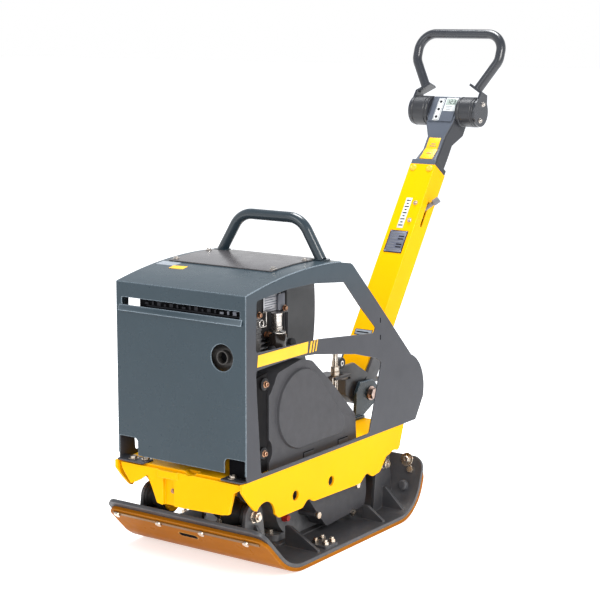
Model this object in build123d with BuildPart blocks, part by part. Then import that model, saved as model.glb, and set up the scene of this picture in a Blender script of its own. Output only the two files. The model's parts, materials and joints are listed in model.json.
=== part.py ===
from build123d import *
import math
import os

os.makedirs("parts", exist_ok=True)

# Plate compactor. Millimetres. +Z up, -Y is the front, +Y the operator's side.
# The origin is the middle of the sole, on the ground.

# ---- driving dimensions -------------------------------------------------
plate_width = 400
flat_front = -160         # where the flat sole starts to curve up, front
flat_rear = 205           # the same at the rear
front_bend = 120          # outer bend radius of the front upturn
front_rise_angle = 45.5
front_straight = 95
rear_bend = 95
rear_rise_angle = 72
rear_straight = 60
mat_thickness = 8
mat_setback = 16          # the mat ends this far short of the plate, front
mat_rear_setback = 19
plate_thickness = 8
corner_round = 28         # corners of both upturns

frame_width = 322
frame_sheet = 6
frame_top = 203
deck_thickness = 8
deck_front = -299
deck_rear = 272
beam_front = -307
beam_sheet = 8
hole_diameter = 21        # lashing holes in the frame sides
hole_height = 140
hole_front_y = -136.5
hole_spacing = 128

buffer_radius = 31
buffer_front_y = -240
buffer_rear_y = 236
buffer_height = 118
buffer_inner_x = 74
lug_inner_x = 126
lug_sheet = 8
web_sheet = 6

hood_front = -302
hood_sheet = 2.5
hood_bottom = 216
hood_front_top = 567
hood_crown_y = -46
hood_crown = 597
hood_rear = 22
side_sheet = 3
cover_front = -160
cover_rear = 12
cover_left = -142
cover_right = 118
exhaust_x = 104
exhaust_height = 442.6
exhaust_hole = 53

bail_tube = 22.5
bail_y = 0
bail_top = 679
bail_half_foot = 127
bail_half_top = 77
bail_bend = 52

crank_y = -95
crank_z = 305
crank_radius = 12.5
clutch_radius = 42        # running radius of the belt on the clutch pulley
driven_y = 75
shaft_spacing = 110
exciter_radius = 38       # running radius of the belt on the exciter pulley
exciter_shaft = 15
belt_x = 112              # middle plane of the belt
belt_width = 13
belt_depth = 9
gear_teeth = 24
gear_width = 16
gear_module = shaft_spacing / gear_teeth
gear_tip = shaft_spacing / 2 + 0.8 * gear_module
gear_room = 1.33          # tooth tips to the housing's inner wall
housing_wall = 6
housing_radius = gear_tip + gear_room + housing_wall
housing_end = 9
bed_rise = 2              # machined bed over the plate's top
housing_rise = 3          # round underside of the housing over its bed
housing_left = -78
housing_right = 86
end_cover = 14

pivot_y = 306.5
pivot_z = 252
pivot_bolt_radius = 10
bar_angle = 56            # lean of the drawbar from level at rest
bar_width = 68
bar_depth = 56
bar_wall = 4
bar_set_back = 6          # the bar's centre line runs this far behind the pivot
bar_length = 577          # pivot foot to the top of the tube
bar_cut_height = 277
hub_rise = 162            # top of the tube to the hub axis
hub_radius = 34
hub_inner = 38
hub_outer = 85
control_shaft = 9
loop_tube = 22.5
loop_lean = 19            # lean back of the control loop from upright
loop_height = 194
loop_half_width = 114

running_gap = 0.05        # radial, shaft in bore
clear_gap = 0.4           # between curved faces of different bodies
seat_gap = 0.3            # between a stop and what rests on it


def at_x(x):
    return Plane.YZ.offset(x)


def at_y(y):
    return Plane.XZ.offset(-y)


def at_z(z):
    return Plane.XY.offset(z)


def keep(part, name):
    part.label = name
    export_step(part, "parts/" + name + ".step")


def sole_point(depth, end, run):
    """A (y, z) point of the bent sole, depth above its underside, run along the upturn."""
    if end == "front":
        angle = math.radians(front_rise_angle)
        radius = front_bend - depth
        y = flat_front - radius * math.sin(angle) - run * math.cos(angle)
        z = front_bend - radius * math.cos(angle) + run * math.sin(angle)
    else:
        angle = math.radians(rear_rise_angle)
        radius = rear_bend - depth
        y = flat_rear + radius * math.sin(angle) + run * math.cos(angle)
        z = rear_bend - radius * math.cos(angle) + run * math.sin(angle)
    return (y, z)


def sole_curve(depth, end):
    """End point and middle of the bend at that depth."""
    angle = front_rise_angle if end == "front" else rear_rise_angle
    bend = front_bend if end == "front" else rear_bend
    start = flat_front if end == "front" else flat_rear
    side = -1 if end == "front" else 1
    half = math.radians(angle / 2)
    radius = bend - depth
    return (start + side * radius * math.sin(half), bend - radius * math.cos(half))


def sole_sheet(bottom, top, front_run, rear_run):
    """Closed outline of one bent layer of the sole, as a face in the YZ plane."""
    with BuildSketch(Plane.YZ) as layer:
        with BuildLine():
            for depth in (bottom, top):
                Line(sole_point(depth, "front", front_run), sole_point(depth, "front", 0))
                ThreePointArc(
                    sole_point(depth, "front", 0), sole_curve(depth, "front"), (flat_front, depth)
                )
                Line((flat_front, depth), (flat_rear, depth))
                ThreePointArc(
                    (flat_rear, depth), sole_curve(depth, "rear"), sole_point(depth, "rear", 0)
                )
                Line(sole_point(depth, "rear", 0), sole_point(depth, "rear", rear_run))
            Line(sole_point(bottom, "front", front_run), sole_point(top, "front", front_run))
            Line(sole_point(bottom, "rear", rear_run), sole_point(top, "rear", rear_run))
        make_face()
    return layer.sketch


def sole_corners(part, thickness):
    """The four short edges at the ends of both upturns."""
    return part.edges().filter_by(
        lambda edge: abs(edge.length - thickness) < 0.01 and abs(edge.center().X) > plate_width / 2 - 1
    )


# ---- sole: wear mat and base plate ---------------------------------------
sole_top = mat_thickness + plate_thickness
bed_top = sole_top + bed_rise
driven_z = bed_top + housing_rise + housing_radius

with BuildPart() as wear_mat:
    mat_face = sole_sheet(0, mat_thickness, front_straight - mat_setback, rear_straight - mat_rear_setback)
    extrude(mat_face, amount=plate_width / 2, both=True)
    fillet(sole_corners(wear_mat.part, mat_thickness), corner_round)
keep(wear_mat.part, "wear_mat")

lug_outer_x = lug_inner_x + lug_sheet
rib_sheet = 8
rib_tip_x = plate_width / 2 - 10
rib_places = (
    (-96, 108, 58), (150, 137, 46),
    (buffer_rear_y, lug_inner_x + 2, 66), (buffer_front_y, lug_inner_x + 2, 100),
)
pad_size = 44
pad_height = 6
pad_x = plate_width / 2 - 28
pad_y = -52
housing_foot = 14
housing_front = driven_y - shaft_spacing - housing_radius
housing_rear = driven_y + housing_radius

with BuildPart() as base_plate:
    extrude(
        sole_sheet(mat_thickness, sole_top, front_straight, rear_straight), amount=plate_width / 2, both=True
    )
    fillet(sole_corners(base_plate.part, plate_thickness), corner_round)
    for side in (-1, 1):
        start_x = lug_inner_x if side > 0 else -lug_outer_x
        for lug_y, foot in ((buffer_front_y, 46), (buffer_rear_y, 40)):
            with BuildSketch(at_x(start_x)):
                with Locations((lug_y, buffer_height)):
                    Circle(buffer_radius - 3)
                with BuildLine():
                    Polyline(
                        (lug_y - buffer_radius + 3, buffer_height),
                        (lug_y - foot, sole_top / 2),
                        (lug_y + foot, sole_top / 2),
                        (lug_y + buffer_radius - 3, buffer_height),
                        close=True,
                    )
                make_face()
            extrude(amount=lug_sheet)
        for rib_y, rib_root_x, rib_height in rib_places:
            with BuildSketch(at_y(rib_y + rib_sheet / 2)):
                with BuildLine():
                    Polyline(
                        (side * rib_root_x, sole_top - 1),
                        (side * rib_root_x, rib_height),
                        (side * (rib_root_x + 14), rib_height),
                        (side * rib_tip_x, sole_top + 4),
                        (side * rib_tip_x, sole_top - 1),
                        close=True,
                    )
                make_face()
            extrude(amount=rib_sheet)
        with BuildSketch(at_z(sole_top - 1)):
            with Locations((side * pad_x, pad_y)):
                RectangleRounded(pad_size, pad_size, 5)
        extrude(amount=pad_height + 1)
    # mounting bed of the exciter
    with BuildSketch(at_z(sole_top - 1)):
        with Locations((0, (housing_front + housing_rear) / 2)):
            RectangleRounded(200, housing_rear - housing_front + 20, 8)
    extrude(amount=bed_rise + 1)
    # everything under the plate's own underside goes
    extrude(
        sole_sheet(-200, mat_thickness, front_straight + 60, rear_straight + 60),
        amount=plate_width,
        both=True,
        mode=Mode.SUBTRACT,
    )
    # stud holes of the buffers
    for lug_y in (buffer_front_y, buffer_rear_y):
        with BuildSketch(Plane.YZ):
            with Locations((lug_y, buffer_height)):
                Circle(6.2)
        extrude(amount=plate_width, both=True, mode=Mode.SUBTRACT)
keep(base_plate.part, "base_plate")

# ---- clamp strips along the two edges of the mat --------------------------
strip_width = 9
strip_sheet = 3
strip_drop = 12           # from the mat's edge down to the strip
strip_half = plate_width / 2 - 14
bolt_pitch = 109.5
bolt_shift = -9
bolt_places = [bolt_shift + (number - 1.5) * bolt_pitch for number in range(4)]


def edge_plane(end, run):
    """Plane on the mat's outer face near its edge, x across, y up the slope, z outwards."""
    y, z = sole_point(0, end, run)
    if end == "front":
        angle = math.radians(front_rise_angle)
        return Plane(origin=(0, y, z), x_dir=(1, 0, 0), z_dir=(0, -math.sin(angle), -math.cos(angle)))
    angle = math.radians(rear_rise_angle)
    return Plane(origin=(0, y, z), x_dir=(-1, 0, 0), z_dir=(0, math.sin(angle), -math.cos(angle)))


front_edge = edge_plane("front", front_straight - mat_setback - strip_drop)
rear_edge = edge_plane("rear", rear_straight - mat_rear_setback - strip_drop)
with BuildPart() as front_clamp_strip:
    with BuildSketch(front_edge):
        RectangleRounded(2 * strip_half, strip_width, 2)
    extrude(amount=strip_sheet)
keep(front_clamp_strip.part, "front_clamp_strip")

with BuildPart() as rear_clamp_strip:
    with BuildSketch(rear_edge):
        RectangleRounded(2 * strip_half, strip_width, 2)
    extrude(amount=strip_sheet)
keep(rear_clamp_strip.part, "rear_clamp_strip")

with BuildPart() as clamp_bolts:
    for edge in (front_edge, rear_edge):
        for bolt_x in bolt_places:
            head_seat = edge.offset(strip_sheet)
            with BuildSketch(head_seat):
                with Locations((bolt_x, 0)):
                    Circle(7)
            extrude(amount=4)
            nut_seat = edge.offset(-sole_top)
            with BuildSketch(nut_seat):
                with Locations((bolt_x, 0)):
                    RegularPolygon(7, 6, major_radius=False)
            extrude(amount=-7)
keep(clamp_bolts.part, "clamp_bolts")

with BuildPart() as pad_nuts:
    for side in (-1, 1):
        with BuildSketch(at_z(sole_top + pad_height)):
            with Locations((side * pad_x, pad_y)):
                with GridLocations(24, 24, 2, 2):
                    RegularPolygon(6.5, 6, major_radius=False)
        extrude(amount=7)
        with BuildSketch(at_z(sole_top + pad_height)):
            with Locations((side * pad_x, pad_y)):
                with GridLocations(24, 24, 2, 2):
                    Circle(4)
        extrude(amount=11)
keep(pad_nuts.part, "pad_nuts")

# ---- exciter ---------------------------------------------------------------
idle_y = driven_y - shaft_spacing
shaft_places = (driven_y, idle_y)
bearing_outer = 31
bearing_width = 15
shaft_bore = exciter_shaft + running_gap
weight_radius = 47
cavity_radius = housing_radius - housing_wall
cover_joint_x = housing_left
housing_middle = (housing_left + housing_right) / 2


def stadium_outline(radius):
    for shaft_y in shaft_places:
        with Locations((shaft_y, driven_z)):
            Circle(radius)
    with Locations(((driven_y + idle_y) / 2, driven_z)):
        Rectangle(shaft_spacing, 2 * radius)


with BuildPart() as exciter_housing:
    with BuildSketch(at_x(housing_left)):
        stadium_outline(housing_radius)
    extrude(amount=housing_right - housing_left)
    # bolted feet
    with BuildSketch(at_z(bed_top)):
        with Locations((housing_middle, (driven_y + idle_y) / 2)):
            RectangleRounded(housing_right - housing_left, shaft_spacing + 2 * housing_radius, 12)
    extrude(amount=housing_foot)
    with BuildSketch(at_z(bed_top)):
        with Locations((housing_middle, (driven_y + idle_y) / 2)):
            Rectangle(housing_right - housing_left - 20, shaft_spacing + 60)
    extrude(amount=40)
    with BuildSketch(at_x(housing_left)):
        stadium_outline(cavity_radius)
    extrude(amount=housing_right - housing_left - housing_end - bearing_width, mode=Mode.SUBTRACT)
    for shaft_y in shaft_places:
        with BuildSketch(at_x(housing_right - housing_end - bearing_width)):
            with Locations((shaft_y, driven_z)):
                Circle(bearing_outer)
        extrude(amount=bearing_width, mode=Mode.SUBTRACT)
    with BuildSketch(at_x(housing_right - housing_end - 1)):
        with Locations((driven_y, driven_z)):
            Circle(exciter_shaft + 2)
    extrude(amount=housing_end + 2, mode=Mode.SUBTRACT)
keep(exciter_housing.part, "exciter_housing")

with BuildPart() as exciter_cover:
    with BuildSketch(at_x(cover_joint_x)):
        stadium_outline(housing_radius)
    extrude(amount=-end_cover)
    for shaft_y in shaft_places:
        with BuildSketch(at_x(cover_joint_x - end_cover)):
            with Locations((shaft_y, driven_z)):
                Circle(bearing_outer + 7)
        extrude(amount=-6)
        with BuildSketch(at_x(cover_joint_x)):
            with Locations((shaft_y, driven_z)):
                Circle(bearing_outer)
        extrude(amount=-bearing_width, mode=Mode.SUBTRACT)
keep(exciter_cover.part, "exciter_cover")

left_bearing_x = cover_joint_x - bearing_width
right_bearing_x = housing_right - housing_end - bearing_width
with BuildPart() as exciter_bearings:
    for bearing_x in (left_bearing_x, right_bearing_x):
        for shaft_y in shaft_places:
            with BuildSketch(at_x(bearing_x)):
                with Locations((shaft_y, driven_z)):
                    Circle(bearing_outer - running_gap)
                    Circle(shaft_bore, mode=Mode.SUBTRACT)
            extrude(amount=bearing_width)
keep(exciter_bearings.part, "exciter_bearings")

gear_root = shaft_spacing / 2 - 1.2 * gear_module
gear_x = housing_left + 5
tooth_base = 0.46 * math.pi * gear_module
tooth_tip = 0.22 * math.pi * gear_module
shaft_left = left_bearing_x + 1
weight_left = gear_x + gear_width + 6
weight_right = right_bearing_x - 6


def tooth_points(shaft_y, turn):
    """Corners of one gear tooth standing out at that angle."""
    across = math.radians(turn)
    corners = (
        (gear_root - 2, -tooth_base / 2),
        (gear_tip, -tooth_tip / 2),
        (gear_tip, tooth_tip / 2),
        (gear_root - 2, tooth_base / 2),
    )
    return [
        (
            shaft_y + reach * math.cos(across) - aside * math.sin(across),
            driven_z + reach * math.sin(across) + aside * math.cos(across),
        )
        for reach, aside in corners
    ]


def gear_face(shaft_y, first_angle):
    with Locations((shaft_y, driven_z)):
        Circle(gear_root)
    for tooth in range(gear_teeth):
        Polygon(*tooth_points(shaft_y, first_angle + tooth * 360 / gear_teeth), align=None)
    with Locations((shaft_y, driven_z)):
        Circle(shaft_bore, mode=Mode.SUBTRACT)


with BuildPart() as driven_gear:
    with BuildSketch(at_x(gear_x)):
        gear_face(driven_y, 0)
    extrude(amount=gear_width)
keep(driven_gear.part, "driven_gear")

with BuildPart() as idle_gear:
    with BuildSketch(at_x(gear_x)):
        gear_face(idle_y, 180 / gear_teeth)
    extrude(amount=gear_width)
keep(idle_gear.part, "idle_gear")


def weighted_shaft(shaft_y, shaft_right):
    """Plain shaft with the half-disc weight that hangs down at rest."""
    with BuildPart() as shaft:
        with BuildSketch(at_x(shaft_left)):
            with Locations((shaft_y, driven_z)):
                Circle(exciter_shaft)
        extrude(amount=shaft_right - shaft_left)
        with BuildSketch(at_x(weight_left)):
            with Locations((shaft_y, driven_z)):
                Circle(weight_radius)
            with Locations((shaft_y, driven_z + weight_radius / 2 + 4)):
                Rectangle(2 * weight_radius, weight_radius, mode=Mode.SUBTRACT)
            with Locations((shaft_y, driven_z)):
                Circle(exciter_shaft + 6)
        extrude(amount=weight_right - weight_left)
    return shaft.part


def belt_pulley(axis_y, axis_z, running_radius, bore):
    """Grooved pulley whose belt runs clear_gap above the groove floor."""
    with BuildPart() as pulley:
        with BuildSketch(at_x(belt_x - pulley_half)):
            with Locations((axis_y, axis_z)):
                Circle(running_radius + belt_depth - 1)
        extrude(amount=2 * pulley_half)
        with BuildSketch(at_x(belt_left - clear_gap)):
            with Locations((axis_y, axis_z)):
                Circle(running_radius + belt_depth + 4)
                Circle(running_radius - clear_gap, mode=Mode.SUBTRACT)
        extrude(amount=belt_width + 2 * clear_gap, mode=Mode.SUBTRACT)
        with BuildSketch(at_x(belt_x - pulley_half)):
            with Locations((axis_y, axis_z)):
                Circle(bore)
        extrude(amount=2 * pulley_half, mode=Mode.SUBTRACT)
    return pulley.part


belt_left = belt_x - belt_width / 2
pulley_flange = 3
pulley_half = belt_width / 2 + clear_gap + pulley_flange
keep(weighted_shaft(driven_y, belt_x + pulley_half + 2), "driven_shaft")
keep(weighted_shaft(idle_y, housing_right - housing_end - 1), "idle_shaft")
keep(belt_pulley(driven_y, driven_z, exciter_radius, shaft_bore), "exciter_pulley")

# ---- lower belt guard over the exciter pulley --------------------------------
guard_face_x = 131
guard_sheet = 3
guard_left = 91
lower_guard_edge = ((18, 30), (166, 39), (172, 70), (168, 120), (120, 152), (-62, 152), (-44, 100))
standoffs = ((-15, 63), (117, 36), (134, 93))
with BuildPart() as lower_belt_guard:
    with BuildSketch(at_x(guard_left)) as lower_face:
        with BuildLine():
            Polyline(*lower_guard_edge, close=True)
        make_face()
        fillet(lower_face.vertices(), 14)
    extrude(amount=guard_face_x - guard_left)
    with BuildSketch(at_x(guard_left)):
        add(lower_face.sketch_local)
        offset(amount=-guard_sheet, mode=Mode.REPLACE)
    extrude(amount=guard_face_x - guard_left - guard_sheet, mode=Mode.SUBTRACT)
    # the belt leaves through the open top
    with BuildSketch(at_z(140)):
        with Locations(((guard_left + guard_face_x - guard_sheet) / 2, 30)):
            Rectangle(guard_face_x - guard_left - guard_sheet, 240)
    extrude(amount=40, mode=Mode.SUBTRACT)
    with BuildSketch(at_x(housing_right)):
        with Locations(*standoffs):
            Circle(6)
    extrude(amount=guard_face_x - guard_sheet - housing_right)
keep(lower_belt_guard.part, "lower_belt_guard")

with BuildPart() as exciter_bolts:
    with BuildSketch(at_x(guard_face_x)):
        with Locations(*standoffs):
            RegularPolygon(6.5, 6, major_radius=False)
    extrude(amount=5)
    with BuildSketch(at_z(bed_top + housing_foot)):
        for foot_y in (housing_front + 8, housing_rear - 8):
            with Locations((-66, foot_y), (66, foot_y)):
                RegularPolygon(6, 6, major_radius=False)
    extrude(amount=9)
    with BuildSketch(at_x(cover_joint_x - end_cover)):
        for cover_y in (idle_y, driven_y):
            cover_rise = housing_radius - 9
            with Locations((cover_y, driven_z + cover_rise), (cover_y, driven_z - cover_rise)):
                RegularPolygon(6, 6, major_radius=False)
    extrude(amount=-5)
keep(exciter_bolts.part, "exciter_bolts")

with BuildPart() as oil_plug:
    with BuildSketch(at_x(housing_right)):
        with Locations((idle_y - 38, driven_z - 22)):
            Circle(9)
    extrude(amount=4)
    with BuildSketch(at_x(housing_right + 4)):
        with Locations((idle_y - 38, driven_z - 22)):
            RegularPolygon(6, 6, major_radius=False)
    extrude(amount=8)
keep(oil_plug.part, "oil_plug")

# ---- rubber buffers between the sole's lugs and the frame's webs ---------------
buffer_places = (buffer_front_y, buffer_rear_y)
buffer_end_x = lug_inner_x
buffer_neck = 0.8 * buffer_radius
with BuildPart() as rubber_buffers:
    for side in (-1, 1):
        for buffer_y in buffer_places:
            with BuildSketch(at_x(side * buffer_inner_x)):
                with Locations((buffer_y, buffer_height)):
                    Circle(buffer_neck)
            with BuildSketch(at_x(side * (buffer_inner_x + buffer_end_x) / 2)):
                with Locations((buffer_y, buffer_height)):
                    Circle(buffer_radius)
            loft()
            with BuildSketch(at_x(side * (buffer_inner_x + buffer_end_x) / 2)):
                with Locations((buffer_y, buffer_height)):
                    Circle(buffer_radius)
            with BuildSketch(at_x(side * buffer_end_x)):
                with Locations((buffer_y, buffer_height)):
                    Circle(buffer_neck)
            loft()
keep(rubber_buffers.part, "rubber_buffers")

stud_radius = 6
with BuildPart() as buffer_nuts:
    for side in (-1, 1):
        for buffer_y in buffer_places:
            with BuildSketch(at_x(side * lug_outer_x)):
                with Locations((buffer_y, buffer_height)):
                    Circle(13)
            extrude(amount=side * 2)
            with BuildSketch(at_x(side * (lug_outer_x + 2))):
                with Locations((buffer_y, buffer_height)):
                    RegularPolygon(9.5, 6, major_radius=False)
            extrude(amount=side * 9)
            with BuildSketch(at_x(side * lug_inner_x)):
                with Locations((buffer_y, buffer_height)):
                    Circle(stud_radius)
            extrude(amount=side * (lug_sheet + 15))
keep(buffer_nuts.part, "buffer_nuts")

# ---- lower frame ----------------------------------------------------------------
frame_outer = frame_width / 2
frame_inner = frame_outer - frame_sheet
deck_bottom = frame_top - deck_thickness
frame_edge = (
    (-314, frame_top), (-314, 187), (-296, 165), (-272, 140), (-228, 138), (-194, 108), (-112, 108),
    (-92, 124), (-72, 112), (102, 108), (128, 127), (150, 112), (180, 116), (206, 146), (257, 148),
    (277, frame_top),
)
for side, side_name in ((1, "left"), (-1, "right")):
    with BuildPart() as frame_side:
        with BuildSketch(at_x(side * frame_inner)) as side_face:
            with BuildLine():
                Polyline(*frame_edge, close=True)
            make_face()
            fillet(side_face.vertices().filter_by(lambda v: v.Y < frame_top - 40), 16)
            with Locations((buffer_front_y, buffer_height), (buffer_rear_y, buffer_height)):
                Circle(buffer_radius + 3, mode=Mode.SUBTRACT)
            with Locations((hole_front_y, hole_height), (hole_front_y + hole_spacing, hole_height)):
                Circle(hole_diameter / 2, mode=Mode.SUBTRACT)
        extrude(amount=side * frame_sheet)
    keep(frame_side.part, "frame_side_" + side_name)

scoop_x = 23              # shallow scoop in the front edge of the deck
scoop_radius = 22
scoop_z = frame_top - 6 + scoop_radius
slot_front = -88
slot_rear = 62
slot_left = 94
slot_right = 130
with BuildPart() as frame_deck:
    with BuildSketch(at_z(deck_bottom)):
        with Locations((0, (deck_front + deck_rear) / 2)):
            Rectangle(2 * frame_inner, deck_rear - deck_front)
        with Locations(((slot_left + slot_right) / 2, (slot_front + slot_rear) / 2)):
            Rectangle(slot_right - slot_left, slot_rear - slot_front, mode=Mode.SUBTRACT)
        with Locations((0, -5)):
            RectangleRounded(120, 90, 12, mode=Mode.SUBTRACT)
    extrude(amount=deck_thickness)
    with BuildSketch(at_z(deck_bottom)):
        with Locations((0, deck_rear - 4)):
            Rectangle(2 * frame_inner, 8)
    extrude(amount=-42)
    with BuildSketch(at_y(deck_front + 15)):
        with Locations((scoop_x, scoop_z)):
            Circle(scoop_radius)
    extrude(amount=30, mode=Mode.SUBTRACT)
keep(frame_deck.part, "frame_deck")

beam_edge = (
    (-152, 199), (-148, 186), (-126, 157), (-110, 164), (-82, 182), (-68, 153), (-58, 129), (-42, 126),
    (-42, 182), (-14, 182), (-14, 128), (104, 132), (122, 135), (134, 180), (152, 190), (152, 199),
)
pocket = (-48, -8, 126, 195)
boss = (-52, -4, 184, 199)
with BuildPart() as front_beam:
    with BuildSketch(at_y(beam_front + beam_sheet)) as beam_face:
        with BuildLine():
            Polyline(*beam_edge, close=True)
        make_face()
        fillet(beam_face.vertices().filter_by(lambda v: v.Y < 195), 3)
    extrude(amount=beam_sheet)
    # back wall of the pocket, and the raised boss over it
    for (left, right, low, high), back, depth in ((pocket, deck_front, -6), (boss, beam_front, 4)):
        with BuildSketch(at_y(back)):
            with Locations(((left + right) / 2, (low + high) / 2)):
                Rectangle(right - left, high - low)
        extrude(amount=depth)
    with BuildSketch(at_y(deck_front)):
        with Locations((scoop_x, scoop_z)):
            Circle(scoop_radius)
    extrude(amount=30, mode=Mode.SUBTRACT)
keep(front_beam.part, "front_beam")

web_inner_x = buffer_inner_x - web_sheet
for end_name, buffer_y in (("front", buffer_front_y), ("rear", buffer_rear_y)):
    with BuildPart() as buffer_web:
        for side in (-1, 1):
            with BuildSketch(at_x(side * web_inner_x)):
                with Locations((buffer_y, buffer_height)):
                    Circle(buffer_neck)
                with Locations((buffer_y, (buffer_height + deck_bottom) / 2)):
                    Rectangle(2 * buffer_neck, deck_bottom - buffer_height)
            extrude(amount=side * web_sheet)
        with BuildSketch(at_z(deck_bottom)):
            with Locations((0, buffer_y)):
                Rectangle(2 * buffer_inner_x, 2 * buffer_neck)
        extrude(amount=-6)
    keep(buffer_web.part, end_name + "_buffer_web")

# ---- hood, side plates, cover, bail ------------------------------------------------
crown_radius = (hood_crown_y - hood_front) ** 2 / (2 * (hood_crown - hood_front_top))


def hood_z(y):
    return hood_crown - (y - hood_crown_y) ** 2 / (2 * crown_radius)


def hood_arc(front_y, rear_y, lift):
    middle = (front_y + rear_y) / 2
    ThreePointArc(
        (front_y, hood_z(front_y) + lift), (middle, hood_z(middle) + lift), (rear_y, hood_z(rear_y) + lift)
    )


vent_bottom = 521
vent_top = 536
vent_half = 147
notch_left = (-158, -110, 252)
notch_right = (109, 158, 246)
with BuildPart() as hood_shell:
    with BuildSketch(at_x(-frame_outer)):
        with BuildLine():
            hood_arc(hood_front, hood_rear, 0)
            Line((hood_rear, hood_z(hood_rear)), (hood_rear, hood_z(hood_rear) - hood_sheet))
            hood_arc(hood_front + hood_sheet, hood_rear, -hood_sheet)
            Line(
                (hood_front + hood_sheet, hood_z(hood_front + hood_sheet) - hood_sheet),
                (hood_front + hood_sheet, hood_bottom),
            )
            Line((hood_front + hood_sheet, hood_bottom), (hood_front, hood_bottom))
            Line((hood_front, hood_bottom), (hood_front, hood_z(hood_front)))
        make_face()
    extrude(amount=2 * frame_outer)
    # folded side flanges behind the front panel
    for side in (-1, 1):
        with BuildSketch(at_x(side * (frame_outer - side_sheet))):
            with Locations((hood_front + hood_sheet + 9, (hood_bottom + 60 + 540) / 2)):
                Rectangle(18, 540 - hood_bottom - 60)
        extrude(amount=-side * hood_sheet)
    # ventilation slot, exhaust hole and the two lower notches
    with BuildSketch(at_y(hood_front + 20)):
        with Locations((0, (vent_bottom + vent_top) / 2)):
            RectangleRounded(2 * vent_half, vent_top - vent_bottom, 3)
        with Locations((exhaust_x, exhaust_height)):
            Circle(exhaust_hole / 2)
    extrude(amount=40, mode=Mode.SUBTRACT)
    with BuildSketch(at_y(hood_front + hood_sheet)) as notches:
        for notch_start, notch_end, notch_top in (notch_left, notch_right):
            with Locations(((notch_start + notch_end) / 2, (notch_top + hood_bottom) / 2)):
                Rectangle(notch_end - notch_start, notch_top - hood_bottom)
        fillet(notches.vertices().filter_by(lambda v: v.Y > hood_bottom + 5 and abs(v.X) < 120), 10)
    extrude(amount=hood_sheet, mode=Mode.SUBTRACT)
keep(hood_shell.part, "hood_shell")

lower_window = (
    (135, hood_bottom - 5), (181, 358), (161, 370), (77, 393), (-71, 417), (-145, 423), (-269, 418),
    (-267, 372), (-253, hood_bottom - 5),
)
upper_window = (
    (-269, 453), (-52, 446), (149, 426), (157, 436), (91, 494), (34, 550), (-78, 562), (-165, 562),
    (-267, 553),
)
plate_front = hood_front + hood_sheet
hood_foot = 3
foot_reach = (-311, -276)
foot_inner = {"left": 104, "right": -89}
for side, side_name in ((1, "left"), (-1, "right")):
    with BuildPart() as side_plate:
        with BuildSketch(at_x(side * (frame_outer - side_sheet))) as plate_face:
            with BuildLine():
                hood_arc(plate_front, hood_rear, -hood_sheet)
                rear_top = (hood_rear, hood_z(hood_rear) - hood_sheet)
                Line(rear_top, (62, 586))
                Line((62, 586), (180, 474))
                Line((180, 474), (303, 355))
                ThreePointArc((303, 355), (354, 304), (357, 250))
                Line((357, 250), (326, frame_top))
                Line((326, frame_top), (plate_front, frame_top))
                Line((plate_front, frame_top), (plate_front, hood_z(plate_front) - hood_sheet))
            make_face()
            fillet(plate_face.vertices().filter_by(lambda v: 50 < v.X < 70), 22)
            with BuildLine(mode=Mode.PRIVATE) as lower_line:
                FilletPolyline(*lower_window, radius=6, close=True)
            add(make_face(lower_line.edges(), mode=Mode.PRIVATE), mode=Mode.SUBTRACT)
            with BuildLine(mode=Mode.PRIVATE) as upper_line:
                FilletPolyline(*upper_window, radius=6, close=True)
            add(make_face(upper_line.edges(), mode=Mode.PRIVATE), mode=Mode.SUBTRACT)
        extrude(amount=side * side_sheet)
        # foot bent inwards over the deck
        foot_outer_x = side * (frame_outer - side_sheet)
        with BuildSketch(at_z(frame_top)):
            with Locations(((foot_inner[side_name] + foot_outer_x) / 2, sum(foot_reach) / 2)):
                RectangleRounded(
                    abs(foot_outer_x - foot_inner[side_name]), foot_reach[1] - foot_reach[0], 4
                )
        extrude(amount=hood_foot)
    keep(side_plate.part, "side_plate_" + side_name)

cover_sheet = 2.5
sheet_seam = 0.15         # between two curved sheets laid on each other
bail_foot = (34, 26)
bail_seat = hood_z(bail_y - bail_foot[1] / 2) + sheet_seam
with BuildPart() as top_cover:
    with BuildSketch(at_x(cover_left)):
        with BuildLine():
            for lift in (sheet_seam, sheet_seam + cover_sheet):
                hood_arc(cover_front, cover_rear, lift)
            for end_y in (cover_front, cover_rear):
                Line(
                    (end_y, hood_z(end_y) + sheet_seam), (end_y, hood_z(end_y) + sheet_seam + cover_sheet)
                )
        make_face()
    extrude(amount=cover_right - cover_left)
    with BuildSketch(at_z(hood_crown - 20)):
        with Locations((-bail_half_foot, bail_y), (bail_half_foot, bail_y)):
            Rectangle(bail_foot[0] + 6, bail_foot[1] + 10)
    extrude(amount=40, mode=Mode.SUBTRACT)
keep(top_cover.part, "top_cover")

with BuildPart() as lifting_bail:
    with BuildLine() as bail_path:
        FilletPolyline(
            (-bail_half_foot, bail_y, bail_seat),
            (-bail_half_top, bail_y, bail_top),
            (bail_half_top, bail_y, bail_top),
            (bail_half_foot, bail_y, bail_seat),
            radius=bail_bend,
        )
    with BuildSketch(Plane(origin=bail_path.line @ 0, z_dir=bail_path.line % 0)):
        Circle(bail_tube / 2)
    sweep()
    with BuildSketch(at_z(bail_seat)):
        with Locations((0, bail_y)):
            Rectangle(2 * frame_width, 90)
    extrude(amount=-bail_tube, mode=Mode.SUBTRACT)
    for side in (-1, 1):
        with BuildSketch(at_z(bail_seat)):
            with Locations((side * bail_half_foot, bail_y)):
                RectangleRounded(*bail_foot, 8)
        extrude(amount=3)
keep(lifting_bail.part, "lifting_bail")

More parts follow.
